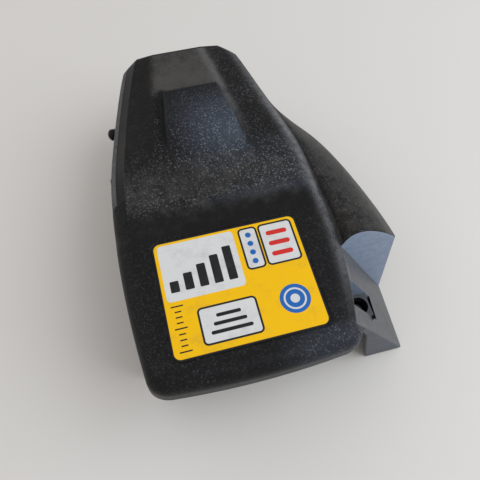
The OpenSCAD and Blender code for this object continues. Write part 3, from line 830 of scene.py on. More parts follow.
def knurled_head(angle):
    """Heights, radii and pole of a head: knurls follow a cosine round it, and the socket a hexagon."""
    top = HEAD_LOW + HEAD_H
    knurled = HEAD_R - KNURL_DEPTH * (0.5 - 0.5 * np.cos(KNURLS * angle))
    hexagon = SOCKET_R * math.cos(math.pi / 6) / np.cos(angle % (math.pi / 3) - math.pi / 6)
    foot_r = [HEAD_R - back + 0 * angle for back, _ in HEAD_FOOT]
    top_r = [HEAD_R - back + 0 * angle for back, _ in HEAD_TOP]
    radii = [*foot_r, knurled, knurled, *top_r, hexagon + SOCKET_BEVEL, hexagon, hexagon]
    heights = [
        *(HEAD_LOW + up for _, up in HEAD_FOOT), HEAD_LOW + KNURL_ENDS[0], top - KNURL_ENDS[1],
        *(top - down for _, down in HEAD_TOP), top, top - SOCKET_BEVEL, top - SOCKET_DEPTH,
    ]
    return heights, np.concatenate(radii), top - SOCKET_DEPTH - SOCKET_POINT


def screw_surface(seat, axis, domed):
    """Screw: a thread whose radius falls by a tooth between its turns, then the neck and the head.

    The tooth follows height over pitch less the share of a turn, and runs out within a pitch of the neck.
    """
    angle = np.linspace(0, 2 * math.pi, SCREW_STEPS, endpoint=False)[None]
    tip = -NECK_L - THREAD_L
    thread_h = np.linspace(tip, -NECK_L, THREAD_ROWS)
    tooth = np.abs((thread_h[:, None] / THREAD_PITCH - angle / (2 * math.pi)) % 1 * 2 - 1)
    run_out = np.clip((-NECK_L - thread_h) / THREAD_PITCH, 0, 1)[:, None]
    cone_r = (THREAD_R - THREAD_TIP + thread_h - tip)[:, None]
    thread_r = np.minimum(THREAD_R - THREAD_DEPTH * run_out * smooth(tooth), cone_r)
    neck_r = np.full((2, SCREW_STEPS), NECK_R)
    head_h, head_r, pole = domed_head(angle) if domed else knurled_head(angle)
    radii = np.concatenate([thread_r, neck_r, head_r])
    heights = np.concatenate([thread_h, [-NECK_L, HEAD_LOW], head_h])
    return spun(radii, heights, seat, axis, tip, pole)


def slab(outline, low, high, bevel, middle=None):
    """Plate from a flat outline: its edge is bevelled above and below, and fans close its two faces."""
    outline = np.asarray(outline, float)
    count = len(outline)
    middle = outline.mean(axis=0) if middle is None else np.asarray(middle, float)
    ahead = unit(np.roll(outline, -1, axis=0) - outline)
    behind = unit(outline - np.roll(outline, 1, axis=0))
    normal_a = np.stack([ahead[:, 1], -ahead[:, 0]], axis=-1)
    normal_b = np.stack([behind[:, 1], -behind[:, 0]], axis=-1)
    inner = outline - bevel * (normal_a + normal_b) / (1 + (normal_a * normal_b).sum(-1))[:, None]
    rings = ((inner, low), (outline, low + bevel), (outline, high - bevel), (inner, high))
    flat = [np.concatenate([ring, np.full((count, 1), z)], axis=1) for ring, z in rings]
    points = np.concatenate([*flat, [[*middle, low], [*middle, high]]])
    here = np.arange(count)
    after = (here + 1) % count
    base = np.stack([after, here, 0 * here + 4 * count], axis=-1)
    top = np.stack([here, after, 0 * here + count + 1], axis=-1) + 3 * count
    return points, [*grid_faces(4, count, wrap=True), *base, *top]


def block(low, high, bevel):
    """Box with its upper and lower edges bevelled."""
    outline = [(low[0], low[1]), (high[0], low[1]), (high[0], high[1]), (low[0], high[1])]
    return slab(outline, low[2], high[2], bevel)


def rounded_outline(half_w, half_l, radius):
    """Rectangle with quarter-circle corners, counter-clockwise."""
    angle = np.linspace(0, math.pi / 2, LABEL_CORNER_STEPS + 1)
    arc = radius * np.stack([np.cos(angle), np.sin(angle)], -1)
    turn = np.array([[0.0, -1.0], [1.0, 0.0]])
    corners = [(half_w, half_l), (-half_w, half_l), (-half_w, -half_l), (half_w, -half_l)]
    parts = []
    for cx, cy in corners:
        inner = np.array([cx - math.copysign(radius, cx), cy - math.copysign(radius, cy)])
        parts.append(inner + arc)
        arc = arc @ turn.T
    return np.concatenate(parts)


class Finish:
    """One procedural material: each method adds a node and returns its output."""

    def __init__(self, name):
        self.material = bpy.data.materials.new(name)
        self.material.use_nodes = True
        self.tree = self.material.node_tree
        self.shader = self.tree.nodes["Principled BSDF"]

    def feed(self, socket, value):
        """Links a socket to another node's output, or sets its own value."""
        if isinstance(value, bpy.types.NodeSocket):
            self.tree.links.new(value, socket)
        elif socket.type == "RGBA":
            socket.default_value = (*tuple(value)[:3], 1.0)
        else:
            socket.default_value = value

    def node(self, kind, inputs=(), **settings):
        """Adds a node, with its settings and its inputs by name or number."""
        made = self.tree.nodes.new(kind)
        for key, value in settings.items():
            setattr(made, key, value)
        for key, value in dict(inputs).items():
            self.feed(made.inputs[key], value)
        return made

    def set(self, **values):
        """Feeds the shader's own sockets, named with underscores for spaces."""
        for key, value in values.items():
            self.feed(self.shader.inputs[key.replace("_", " ")], value)

    def place(self):
        """Object coordinates, which are the part's own."""
        return self.node("ShaderNodeTexCoord").outputs["Object"]

    def attribute(self, name):
        """A value worked out for each point of the piece."""
        return self.node("ShaderNodeAttribute", attribute_name=name).outputs["Fac"]

    def noise(self, scale, detail=3.0, roughness=0.55):
        """Cloudy value around one half, at a scale per metre."""
        made = self.node("ShaderNodeTexNoise", {
            "Vector": self.place(), "Scale": scale, "Detail": detail, "Roughness": roughness,
        })
        return made.outputs["Fac"]

    def cells(self, scale, feature="F1"):
        """Distance to the nearest of scattered points, at a scale per metre."""
        made = self.node("ShaderNodeTexVoronoi", {"Vector": self.place(), "Scale": scale}, feature=feature)
        return made.outputs["Distance"]

    def sum(self, operation, a, b=0.0, clamp=False):
        """Arithmetic on two values."""
        return self.node("ShaderNodeMath", {0: a, 1: b}, operation=operation, use_clamp=clamp).outputs[0]

    def step(self, value, low, high, to_low=0.0, to_high=1.0):
        """Smooth step of a value from low to high."""
        made = self.node("ShaderNodeMapRange", {
            "Value": value, "From Min": low, "From Max": high, "To Min": to_low, "To Max": to_high,
        }, interpolation_type="SMOOTHSTEP")
        return made.outputs["Result"]

    def blend(self, factor, a, b):
        """Colour a where the factor is nothing, b where it is one."""
        made = self.node("ShaderNodeMix", data_type="RGBA")
        self.feed(made.inputs[0], factor)
        self.feed(made.inputs[6], a)
        self.feed(made.inputs[7], b)
        return made.outputs[2]

    def bump(self, height, strength, distance):
        """Normal of a rough surface from a height, with the distance in metres."""
        made = self.node("ShaderNodeBump", {"Height": height, "Strength": strength, "Distance": distance})
        return made.outputs["Normal"]


def cover_plastic(finish):
    """Black moulded plastic: pebble grain with pale tops of dust and painted glints, brown dust, a painted
    bluish sheen and worn edges.
    """
    f = Finish("cover_plastic")
    grain = f.attribute("grain")
    wear = f.attribute("wear")
    dust = f.attribute("dust")
    pale = f.attribute("pale")
    pebbles = f.cells(960.0)
    fine = f.noise(1500.0, 2.0, 0.5)
    coarse = f.noise(260.0, 4.0, 0.6)
    patches = f.noise(38.0, 4.0, 0.6)
    tint = f.blend(patches, [0.65 * c for c in finish.plastic], [1.35 * c for c in finish.plastic])
    # Pebble tops get a pale colour: dust on them and painted glints
    tops = f.sum("MULTIPLY", f.step(pebbles, 0.55, 0.12), f.step(f.noise(640.0, 2.0, 0.5), 0.36, 0.66))
    salt = f.sum("MULTIPLY", f.sum("MULTIPLY", tops, grain), f.step(patches, 0.3, 0.66, 0.45, 1.0))
    speckled = f.blend(salt, tint, finish.dust_speck_and_glint)
    # Brown dust, which on some faces also paints light
    dust_and_light_share = f.sum("MULTIPLY", f.step(f.sum("ADD", dust, f.noise(150.0, 5.0, 0.7)), 0.7, 1.6), 0.9)
    dusted_and_lit = f.blend(dust_and_light_share, speckled, finish.dirt)
    cloud = f.step(coarse, 0.2, 0.8, 0.75, 1.0)
    smooth_cloud = f.sum("MULTIPLY", cloud, f.sum("SUBTRACT", 1.0, grain))
    grainy_cloud = f.sum("MULTIPLY", tops, grain)
    # Painted sheen: the pale attribute blends in the bluish reflection of the window and floor
    sheened = f.blend(f.sum("MULTIPLY", pale, f.sum("ADD", smooth_cloud, grainy_cloud)), dusted_and_lit, finish.painted_sheen)
    # Scuffed edges, which on the skirt, ledge and streak also paint sheen
    worn_and_sheened = f.sum("MULTIPLY", wear, f.step(f.sum("ADD", fine, coarse), 0.5, 1.2))
    colour = f.blend(worn_and_sheened, sheened, finish.scuff_and_sheen)
    height = f.sum("ADD", f.sum("MULTIPLY", pebbles, grain), f.sum("MULTIPLY", coarse, 0.25))
    f.set(
        Base_Color=colour,
        Roughness=f.step(f.sum("ADD", f.sum("MULTIPLY", grain, 0.5), patches), 0.2, 1.3, 0.4, 0.52),
        Normal=f.bump(height, 0.6, 0.00034),
        Specular_IOR_Level=0.15,
    )
    return f.material


def steel(name, colour, roughness, grime):
    """Dull turned or plated steel with fine scratches and some grime."""
    f = Finish(name)
    marks = f.noise(900.0, 5.0, 0.7)
    spots = f.step(f.noise(160.0, 4.0, 0.6), 0.45, 0.75)
    f.set(
        Base_Color=f.blend(f.sum("MULTIPLY", spots, grime), colour, [0.35 * c for c in colour]),
        Metallic=0.92,
        Roughness=f.step(marks, 0.2, 0.8, roughness - 0.08, roughness + 0.16),
        Normal=f.bump(marks, 0.12, 0.0002),
    )
    return f.material


def nylon(finish):
    """Natural nylon, slightly cloudy."""
    f = Finish("natural_nylon")
    cloud = f.noise(220.0, 4.0, 0.6)
    f.set(
        Base_Color=f.blend(cloud, [0.8 * c for c in finish.nylon], finish.nylon),
        Roughness=f.step(cloud, 0.2, 0.8, 0.36, 0.52),
        Normal=f.bump(f.noise(1400.0), 0.15, 0.0002),
    )
    return f.material


def foam(finish):
    """Closed-cell foam with open cut cells on its faces."""
    f = Finish("seal_foam")
    pores = f.cells(900.0)
    cloud = f.noise(90.0, 3.0, 0.6)
    f.set(
        # The cut cells are painted darker, for the shade inside them
        Base_Color=f.blend(f.step(pores, 0.1, 0.6), [0.5 * c for c in finish.foam], finish.foam),
        Roughness=f.step(cloud, 0.2, 0.8, 0.82, 0.95),
        Normal=f.bump(pores, 0.8, 0.0006),
    )
    return f.material


def label_film(finish):
    """Printed film: a yellow ground, white fields, plain marks, a dark border line and some grime."""
    f = Finish("label_film")
    origin = tuple(to_part((0.0, LABEL_Y, 0.0)))
    centred = f.node("ShaderNodeVectorMath", {0: f.place(), 1: origin}, operation="SUBTRACT")
    scaled = f.node("ShaderNodeVectorMath", {0: centred.outputs[0], "Scale": 1 / MM}, operation="SCALE")
    split = f.node("ShaderNodeSeparateXYZ", {0: scaled.outputs[0]})

    def away(middle, half, radius):
        """Distance outside a rounded box on the print, in mm."""
        past = []
        for axis in (0, 1):
            from_middle = f.sum("ABSOLUTE", f.sum("SUBTRACT", split.outputs[axis], middle[axis]))
            past.append(f.sum("SUBTRACT", from_middle, half[axis] - radius))
        beyond = [f.sum("MAXIMUM", share, 0.0) for share in past]
        outer = f.sum("SQRT", f.sum("ADD", *(f.sum("MULTIPLY", share, share) for share in beyond)))
        inner = f.sum("MINIMUM", f.sum("MAXIMUM", *past), 0.0)
        return f.sum("SUBTRACT", f.sum("ADD", outer, inner), radius)

    def filled(distance):
        """Ink inside a shape, with a soft edge."""
        return f.step(distance, PRINT_EDGE, -PRINT_EDGE)

    def line(distance, half_w):
        """Ink along a shape's outline."""
        return filled(f.sum("SUBTRACT", f.sum("ABSOLUTE", distance), half_w))

    white = finish.label_white
    ink = finish.label_ink
    ground = f.blend(filled(away(*PRINT_FIELD, PRINT_CORNER)), finish.label_yellow, white)
    for box in PRINT_FRAMES:
        outline = away(*box, PRINT_CORNER)
        ground = f.blend(filled(outline), ground, white)
        ground = f.blend(line(outline, FRAME_LINE), ground, ink)
    for count, first, step, half, growth, radius, tint in PRINT_ROWS:
        for k in range(count):
            middle = [a + b * k for a, b in zip(first, step)]
            size = [a + b * k for a, b in zip(half, growth)]
            ground = f.blend(filled(away(middle, size, radius)), ground, getattr(finish, tint))
    disc = away(DISC_MIDDLE, (DISC_R, DISC_R), DISC_R)
    ground = f.blend(filled(disc), ground, finish.label_blue)
    ground = f.blend(line(f.sum("ADD", disc, DISC_RING_INSET), DISC_RING_LINE), ground, white)
    ground = f.blend(filled(f.sum("ADD", disc, DISC_DOT_INSET)), ground, white)
    for k in range(TICKS):
        half = SHORT_TICK if k % TICKS_PER_LONG else LONG_TICK
        tick = away((TICK_X, TICK_START + TICK_STEP * k), half, TICK_CORNER)
        ground = f.blend(filled(tick), ground, ink)
    border = away((0.0, 0.0), BORDER_HALF, BORDER_CORNER)
    ground = f.blend(f.step(border, *BORDER_EDGE), ground, ink)
    grime = f.noise(130.0, 5.0, 0.65)
    specks = f.step(f.noise(1300.0, 2.0), 0.66, 0.74)
    aged = f.blend(f.sum("MULTIPLY", f.step(grime, 0.45, 0.8), 0.22), ground, finish.dirt)
    f.set(
        Base_Color=f.blend(f.sum("MULTIPLY", specks, 0.25), aged, finish.dirt),
        Roughness=f.step(grime, 0.2, 0.8, 0.3, 0.5),
        Normal=f.bump(grime, 0.06, 0.0003),
        Specular_IOR_Level=0.16,
    )
    return f.material


def floor_top(look):
    """Pale matt table top with faint mottling."""
    f = Finish("pale_floor")
    cloud = f.noise(9.0, 4.0, 0.6)
    fine = f.noise(300.0, 3.0, 0.6)
    f.set(
        Base_Color=f.blend(cloud, [0.97 * c for c in look.floor], look.floor),
        Roughness=f.step(fine, 0.2, 0.8, 0.5, 0.62),
        Normal=f.bump(fine, 0.04, 0.0003),
        Specular_IOR_Level=0.25,
    )
    return f.material


def length(name, description, default):
    """A size in metres that a user may change."""
    return bpy.props.FloatProperty(
        name=name, description=description, default=default, unit="LENGTH", precision=4)


def power(name, description, default):
    """A lamp's power in watts that a user may change."""
    return bpy.props.FloatProperty(name=name, description=description, default=default, unit="POWER")


def colour(name, description, default):
    """A colour that a user may change."""
    return bpy.props.FloatVectorProperty(
        name=name, description=description, default=default, subtype="COLOR", size=3, min=0.0, max=1.0)


class CoverSizes(bpy.types.PropertyGroup):
    """Sizes of the moulded cover and its label."""

    panel_height: length("Panel height", "Height of the panel over the base rim", float(PANEL_ORIGIN[2]))
    hump_rise: length("Hump rise", "Rise of the hump above the roof", 0.009)
    wall: length("Wall", "Thickness of the moulded walls", 0.0024)
    edge_radius: length("Edge radius", "Radius of the flare's and the skirt's end edges", 0.0008)
    label_width: length("Label width", "Width of the label", LABEL_HIGH.x - LABEL_LOW.x)
    label_length: length("Label length", "Length of the label", LABEL_HIGH.y - LABEL_LOW.y)
    label_corner: length("Label corner", "Corner radius of the label", 0.004)


class CoverFinish(bpy.types.PropertyGroup):
    """Colours of the cover, its label and its fittings."""

    plastic: colour("Plastic", "Moulded plastic of the cover", (0.0066, 0.0063, 0.0068))
    # Pale grain tops: dust on the pebbles together with painted glints of light
    dust_speck_and_glint: colour("Specks", "Pale tops of the plastic's grain", (0.17, 0.166, 0.168))
    # Scuff: worn edges, also used as painted sheen on the skirt, ledge and streak
    scuff_and_sheen: colour("Scuff", "Worn edges of the plastic", (0.165, 0.162, 0.168))
    # Painted sheen: the bluish reflection of the window and floor, painted into the colour
    painted_sheen: colour("Haze", "Pale haze on the smooth faces", (0.31, 0.385, 0.52))
    dirt: colour("Dirt", "Brown dust", (0.072, 0.067, 0.061))
    label_yellow: colour("Label yellow", "Ground of the label", (0.90, 0.50, 0.004))
    label_white: colour("Label white", "White field of the label", (0.66, 0.65, 0.63))
    label_ink: colour("Label ink", "Dark marks of the label", (0.016, 0.016, 0.018))
    label_red: colour("Label red", "Red bars of the label", (0.62, 0.03, 0.025))
    label_blue: colour("Label blue", "Blue disc of the label", (0.02, 0.13, 0.42))
    black_steel: colour("Black steel", "Screw in the left side", (0.022, 0.022, 0.024))
    dark_steel: colour("Dark steel", "Front and rear screws", (0.30, 0.29, 0.28))
    plain_steel: colour("Plain steel", "Washers, sleeves and nuts", (0.56, 0.56, 0.58))
    shield: colour("Shield", "Sheet metal of the heat shield", (0.72, 0.73, 0.75))
    nylon: colour("Nylon", "Retaining rings", (0.78, 0.75, 0.68))
    foam: colour("Foam", "Seal on the partition", (0.045, 0.045, 0.047))


class StageLook(bpy.types.PropertyGroup):
    """Floor and light of the stage."""

    floor: colour("Floor", "Pale table top", (0.725, 0.685, 0.64))
    window: colour("Window", "Cool light from the front right", (0.86, 0.93, 1.0))
    window_power: power("Window power", "Power of the window light", 12.0)
    room: colour("Room", "Warm light from behind", (1.0, 0.92, 0.82))
    room_power: power("Room power", "Power of the room light", 2.0)


def outer_stations(edge_r):
    """Lines across the roof from front to rear, close together where the outer skin turns sharply."""
    quarter = 1 - np.cos(np.linspace(0, math.pi / 2, QUARTER_LINES))
    band = (BAND_START - BAND_SKEW, BAND_START + BAND_SKEW)
    right_end = ROOF_REAR - REAR_RIGHT_CORNER[1]
    left_end = ROOF_REAR - REAR_LEFT_CORNER[1]
    lines = np.concatenate([
        -ROOF_FRONT + FRONT_CORNER_R * quarter,
        [-FOOT_Y - FOOT_LEAD, -FOOT_Y - FACET_GAP / 2],
        -FOOT_Y + FACET_GAP / 2 + edge_r * quarter,
        np.arange(SKIRT_START, FACET_Y - FINE_STEP, FINE_STEP),
        WELL_Y,
        [FACET_Y - FACET_GAP / 2],
        FACET_Y + FACET_GAP / 2 + edge_r * quarter,
        np.arange(FACET_Y + FLARE_START, PANEL_END, FINE_STEP),
        np.arange(PANEL_END, band[0], ROOF_STEP),
        np.arange(*band, BAND_STEP),
        np.arange(band[1], right_end - CORNER_CLEAR, ROOF_STEP),
        np.linspace(right_end, left_end, REAR_RIGHT_LINES),
        np.linspace(left_end, ROOF_REAR, REAR_LEFT_LINES),
    ])
    return np.unique(lines.round(4))


def inner_stations():
    """Coarser lines for the inner skin."""
    quarter = 1 - np.cos(np.linspace(0, math.pi / 2, INNER_QUARTER_LINES))
    return np.concatenate([
        -ROOF_FRONT + FRONT_CORNER_R * quarter,
        [-FOOT_Y - FOOT_LEAD, -FOOT_Y - FACET_GAP / 2, -FOOT_Y + FACET_GAP / 2],
        INNER_SKIRT_LINES,
        [FACET_Y - FACET_GAP / 2, FACET_Y + FACET_GAP / 2],
        INNER_FLARE_LINES,
        np.arange(*INNER_HUMP_LINES),
        INNER_REAR_LINES,
        [ROOF_REAR],
    ])


def nearest_line(stations, y):
    """Number of the line across the roof that is nearest to y."""
    return int(np.argmin(np.abs(stations - y)))


def corner_limits(end_n, side_n):
    """How far the wall profiles' corners may be cut back, in mm: front, right, rear and left of the ring."""
    free = np.full(ARC_STEPS + WALL_STEPS - 1, FREE_CUT)
    right = free.copy()
    right[CREASE_END - 1] = CREASE_CUT
    right[CREASE_END - 1 + ARCH_STEPS] = FLARE_EDGE_CUT
    left = free.copy()
    left[[BAND_END - 1, LEDGE_END - 1]] = BAND_CUT
    return np.repeat([free, right, free, left], [end_n, side_n, end_n, side_n], axis=0)


def ring_places(roof, spots, walls):
    """All points of a skin, and the place among them of each wall point and of its neighbour on the ring."""
    rows, cols = spots
    ring_n, depth = walls.shape[:2]
    roof_n = roof.shape[0] * roof.shape[1]
    below = roof_n + np.arange(ring_n * (depth - 1)).reshape(ring_n, depth - 1)
    index = np.concatenate([(rows * roof.shape[1] + cols)[:, None], below], axis=1)
    points = np.concatenate([roof.reshape(-1, 3), walls[:, 1:].reshape(-1, 3)])
    return points, index, np.roll(index, -1, axis=0)


def head_holes(points, faces):
    """Round holes for the screw heads, each centred on the wall's point nearest to a spot outside it."""
    for seat, axes, outside in HEAD_HOLES:
        through = 3 - sum(axes)
        nearest = np.argmin(np.linalg.norm(points - seat - outside, axis=-1))
        centre = seat.copy()
        centre[through] = points[nearest, through]
        points, faces = punched(points, faces, centre, HEAD_ROOM_R, axes)
    return points, faces


def base_rim(shape, stations, walls, facet_k):
    """Strip between the ends of the outer and the inner skin, which stays a wall behind the facet."""
    y = stations[:-1]
    inner_end = shape.skin(stations, ROOF_COLUMNS, shape.wall)[2][:, -1]
    inner_y = np.where(y > FACET_Y, np.maximum(y, FACET_Y + shape.wall), y)
    inner_y[facet_k - ROOF_COLUMNS] = FACET_Y + shape.wall
    inner_end[ROOF_COLUMNS:ROOF_COLUMNS + len(y), 1] += inner_y - y
    rim = np.stack([walls[:, -1], inner_end], axis=1)
    rim = np.concatenate([rim, rim[:1]])
    return rim.reshape(-1, 3), grid_faces(len(rim), 2), RIM_LOOK


def outer_skin(shape):
    """Outer skin, flat facet and rim as parts, and the edges of the skin's opening at the well."""
    stations = outer_stations(shape.edge_r)
    last = len(stations) - 1
    roof, spots, walls = shape.skin(stations, ROOF_COLUMNS, 0.0)
    walls = soften(walls, corner_limits(ROOF_COLUMNS, last))
    points, index, ahead = ring_places(roof, spots, walls)
    quads = np.stack([index[:, :-1], index[:, 1:], ahead[:, 1:], ahead[:, :-1]], axis=-1)
    root = softened(CREASE_END)
    well_end = softened(CREASE_END + SLOPE_STEPS // 2)
    foot_k, well_a, well_b, facet_k = (
        ROOF_COLUMNS + nearest_line(stations, y)
        for y in (-FOOT_Y - FACET_GAP / 2, *WELL_Y, FACET_Y - FACET_GAP / 2)
    )
    keep = np.ones(quads.shape[:2], bool)
    keep[[foot_k, facet_k], root:] = False
    keep[well_a:well_b, root:well_end] = False
    faces = np.concatenate([grid_faces(*roof.shape[:2]), quads[keep]])
    points, faces = head_holes(points, faces)
    across = np.linspace(0, 1, FACET_ROWS)[None, :, None]
    facet = mix(walls[facet_k, root:, None], walls[facet_k + 1, root:, None], across)
    parts = [
        (points, faces, skin_values(skin_marks(shape, points, last, walls.shape[1]))),
        (facet.reshape(-1, 3), grid_faces(*facet.shape[:2])[:, ::-1], FACET_LOOK),
        base_rim(shape, stations, walls, facet_k),
    ]
    edges = {
        "well_rear": walls[well_b, root:well_end + 1],
        "well_front": walls[well_a, root:well_end + 1],
        "well_inner": walls[well_a:well_b + 1, root],
        "well_outer": walls[well_a:well_b + 1, well_end],
    }
    return parts, edges


def skin_marks(shape, points, last, depth):
    """Strength of each mark at every point of the outer skin, from the point's place on the cover."""
    x, y, _ = points.T
    roof_n = (last + 1) * (ROOF_COLUMNS + 1)
    walls_n = (len(points) - roof_n) // (depth - 1)
    step = np.concatenate([np.zeros(roof_n), np.tile(np.arange(1, depth), walls_n)])
    ring = np.concatenate([np.full(roof_n, -1), np.repeat(np.arange(walls_n), depth - 1)])
    roof = ring < 0
    front = ring < ROOF_COLUMNS
    right = (ring >= ROOF_COLUMNS) & (ring < ROOF_COLUMNS + last)
    left = ring >= 2 * ROOF_COLUMNS + last
    root = softened(CREASE_END)
    flare_edge = softened(CREASE_END + ARCH_STEPS)
    flare = right & (y > FACET_Y) & (step >= root)
    # The skirt's wear and pale shares paint the floor's sheen on this smooth slope, over some real scuffing
    skirt = right & (y <= FACET_Y) & (y > -FOOT_Y) & (step >= root)
    band = left & (y > BAND_START)
    from_crease = x - shape.crease_x(np.clip(y, -ROOF_FRONT, ROOF_REAR))
    crease = np.exp(-(from_crease / CREASE_RUB_W) ** 2) * (roof | (right & (step <= root + 1)))
    rub_start, rub_end = (fade(y, mark) for mark in CREASE_RUB_FADES)
    from_ridge = np.abs(x) - shape.ridge(x, y)
    valley_start, valley_end = (fade(y, mark) for mark in VALLEY_FADES)
    valley_shade = valley_start * (1 - valley_end) * roof
    hump_start, hump_end = (fade(y, mark) for mark in HUMP_LEFT_FADES)
    hump_left_shade = patch(from_ridge, HUMP_LEFT_PATCH) * (x < 0) * hump_start * (1 - hump_end) * roof
    ramp_start, ramp_end = (fade(y, mark) for mark in RAMP_FADES)
    ramp = fade(-from_ridge, RAMP_SIDE_FADE) * ramp_start * mix(1, RAMP_REAR, ramp_end) * roof
    hump_sheen = fade(x, HUMP_SHEEN_FADES[0]) * fade(-from_ridge, HUMP_SHEEN_FADES[1]) * patch(y, HUMP_SHEEN_PATCH) * roof
    middle = patch(y, MIDDLE_PATCH) * roof
    return {
        "flare": flare,
        "skirt": skirt,
        "band": band,
        "rub": crease * rub_start * (1 - CREASE_RUB_REAR * rub_end),
        "flare_rim": np.exp(-((step - flare_edge) / FLARE_RIM_ROWS) ** 2) * flare,
        # The ledge's wear and dust also paint the pale reflection on this upward-facing strip
        "ledge": (step > softened(BAND_END)) * (step <= softened(LEDGE_END) + 1) * band,
        "valley_shade": valley_shade,
        "hump_left_shade": hump_left_shade,
        "hump_back_shade": patch(y, HUMP_BACK_PATCH) * fade(-from_ridge, HUMP_BACK_FADE) * roof,
        "ramp": ramp,
        "streak": np.exp(-(from_ridge / STREAK_W) ** 2) * (x > 0) * fade(y, STREAK_FADE) * roof,
        "hump_sheen": hump_sheen,
        "middle": middle,
        "middle_sheen": middle * (1 - valley_shade) * fade(x, MIDDLE_SHEEN_FADE),
        "lip": fade(x, LIP_FADES[0]) * fade(-y, LIP_FADES[1]) * (front | right),
        "left_slope_shade": fade(from_ridge, LEFT_SLOPE_FADES[0]) * (x < 0) * fade(y, LEFT_SLOPE_FADES[1]) * roof,
        "upper": fade(y, UPPER_FADE) * roof,
        "soil": mix(*SOIL, fade(y, SOIL_FADE)) * skirt,
    }


def skin_values(marks):
    """Grain, dust, wear and painted sheen of the outer skin: sums of its marks, each by its share."""

    def added(shares):
        """Sum of some marks, each by its share."""
        return sum(share * marks[name] for name, share in shares.items())

    grain = PLAIN_GRAIN + added(GRAIN_ADDED)
    for name, value in GRAIN_SET.items():
        grain = np.where(marks[name], value, grain)
    for name, share in GRAIN_LOST_TO_PAINTED_SHADE.items():
        grain = grain * (1 - share * marks[name])
    # No dust on the hump's left side, as part of the painted shade there
    dust = (PLAIN_DUST + added(DUST_AND_PAINTED_LIGHT_ADDED)) * (1 - marks["hump_left_shade"])
    return {
        "grain": grain,
        "dust": np.clip(dust, 0, 1),
        "wear": np.clip(added(WEAR_AND_PAINTED_SHEEN_ADDED), 0, 1),
        "pale": added(PAINTED_SHEEN_ADDED),
    }


def inner_skin(shape):
    """Inner skin: the roof and walls set in by the wall's thickness, facing inwards, open at the well."""
    stations = inner_stations()
    roof, spots, walls = shape.skin(stations, INNER_COLUMNS, shape.wall)
    on_facet = np.abs(stations[:-1] - FACET_Y) < FACET_GAP
    walls[INNER_COLUMNS:INNER_COLUMNS + len(on_facet)][on_facet, :, 1] += shape.wall
    points, index, ahead = ring_places(roof, spots, walls)
    quads = np.stack([index[:, :-1], ahead[:, :-1], ahead[:, 1:], index[:, 1:]], axis=-1)
    well_a, well_b = (INNER_COLUMNS + nearest_line(stations, y) for y in WELL_Y)
    keep = np.ones(quads.shape[:2], bool)
    keep[well_a:well_b, CREASE_END:CREASE_END + SLOPE_STEPS // 2] = False
    faces = np.concatenate([grid_faces(*roof.shape[:2])[:, ::-1], quads[keep]])
    return points, faces, INSIDE_LOOK


def box_reach(circle, low, high):
    """Distance from the front screw's axis to the sides of an upright box, along a circle's directions."""
    room = np.where(circle > 0, np.asarray(high) - FRONT_SEAT[:2], FRONT_SEAT[:2] - np.asarray(low))
    return (room / np.maximum(np.abs(circle), 1e-6)).min(axis=1)


def around_screw(circle, radii, heights):
    """Grid round the front screw's axis from rows of radii and heights along each direction of a circle."""
    plan = FRONT_SEAT[:2] + circle[None] * radii[..., None]
    heights = np.broadcast_to(heights, radii.shape)[..., None]
    points = np.concatenate([plan, heights], axis=-1).reshape(-1, 3)
    return points, grid_faces(*radii.shape, wrap=True)


def well_wall(name, top, share):
    """Wall of the well: an edge of the skin's opening, carried straight down to a floor."""
    floor = np.where(top[:, 0] > GAP_X, GAP_FLOOR, WELL_FLOOR)
    z = mix(top[:, 2], np.minimum(floor, top[:, 2]), share)
    plan = np.broadcast_to(top[:, :2], (*z.shape, 2))
    points = np.concatenate([plan, z[..., None]], axis=-1).reshape(-1, 3)
    faces = turned(points, grid_faces(*z.shape), WELL_MIDDLE, False)
    return points, faces, WELL_REAR_LOOK if name == "well_rear" else WELL_LOOK


def well_floor(circle, inner_x, share):
    """Floor of the well: from the bore's circle out to the well's rectangle."""
    reach = box_reach(circle, (inner_x, WELL_Y[0]), (GAP_X, WELL_Y[1]))
    points, faces = around_screw(circle, mix(HEAD_ROOM_R, reach, share), WELL_FLOOR)
    return points, turned(points, faces, BELOW_WELL, True), WELL_LOOK


def well_outside(shape, circle, inner_x, share):
    """Outside of the well: a box round it, from the boss outwards and then up into the skirt's wall."""
    low = (inner_x - WELL_WALL, WELL_Y[0] - WELL_WALL)
    high = (GAP_X, WELL_Y[1] + WELL_WALL)
    reach = box_reach(circle, low, high)
    box_x, box_y = (FRONT_SEAT[:2] + circle * reach[:, None]).T
    edge_x, lean = shape.skirt_slope(box_y)
    under_skirt = -CREASE_FALL - (box_x - edge_x + shape.wall / 2) / lean
    under_skirt = np.clip(under_skirt, WELL_FLOOR, -shape.wall / 2)
    base = WELL_FLOOR - WELL_WALL + 0 * reach
    boss_r = np.minimum(BOSS_R, reach - BOSS_CLEAR)
    radii = np.concatenate([mix(boss_r, reach, share), reach + 0 * share[1:]])
    heights = np.concatenate([base + 0 * share, mix(base, under_skirt, share[1:])])
    points, faces = around_screw(circle, radii, heights)
    return points, turned(points, faces, WELL_MIDDLE, True), WELL_LOOK


def screw_well(shape, edges):
    """Well in the skirt: its walls, its floor and its outside."""
    share = np.linspace(0, 1, WELL_ROWS)[:, None]
    angle = np.linspace(0, 2 * math.pi, WELL_STEPS, endpoint=False)
    circle = np.stack([np.cos(angle), np.sin(angle)], axis=-1)
    inner_x = edges["well_inner"][:, 0].min()
    walls = [well_wall(name, top, share) for name, top in edges.items()]
    return [*walls, well_floor(circle, inner_x, share), well_outside(shape, circle, inner_x, share)]


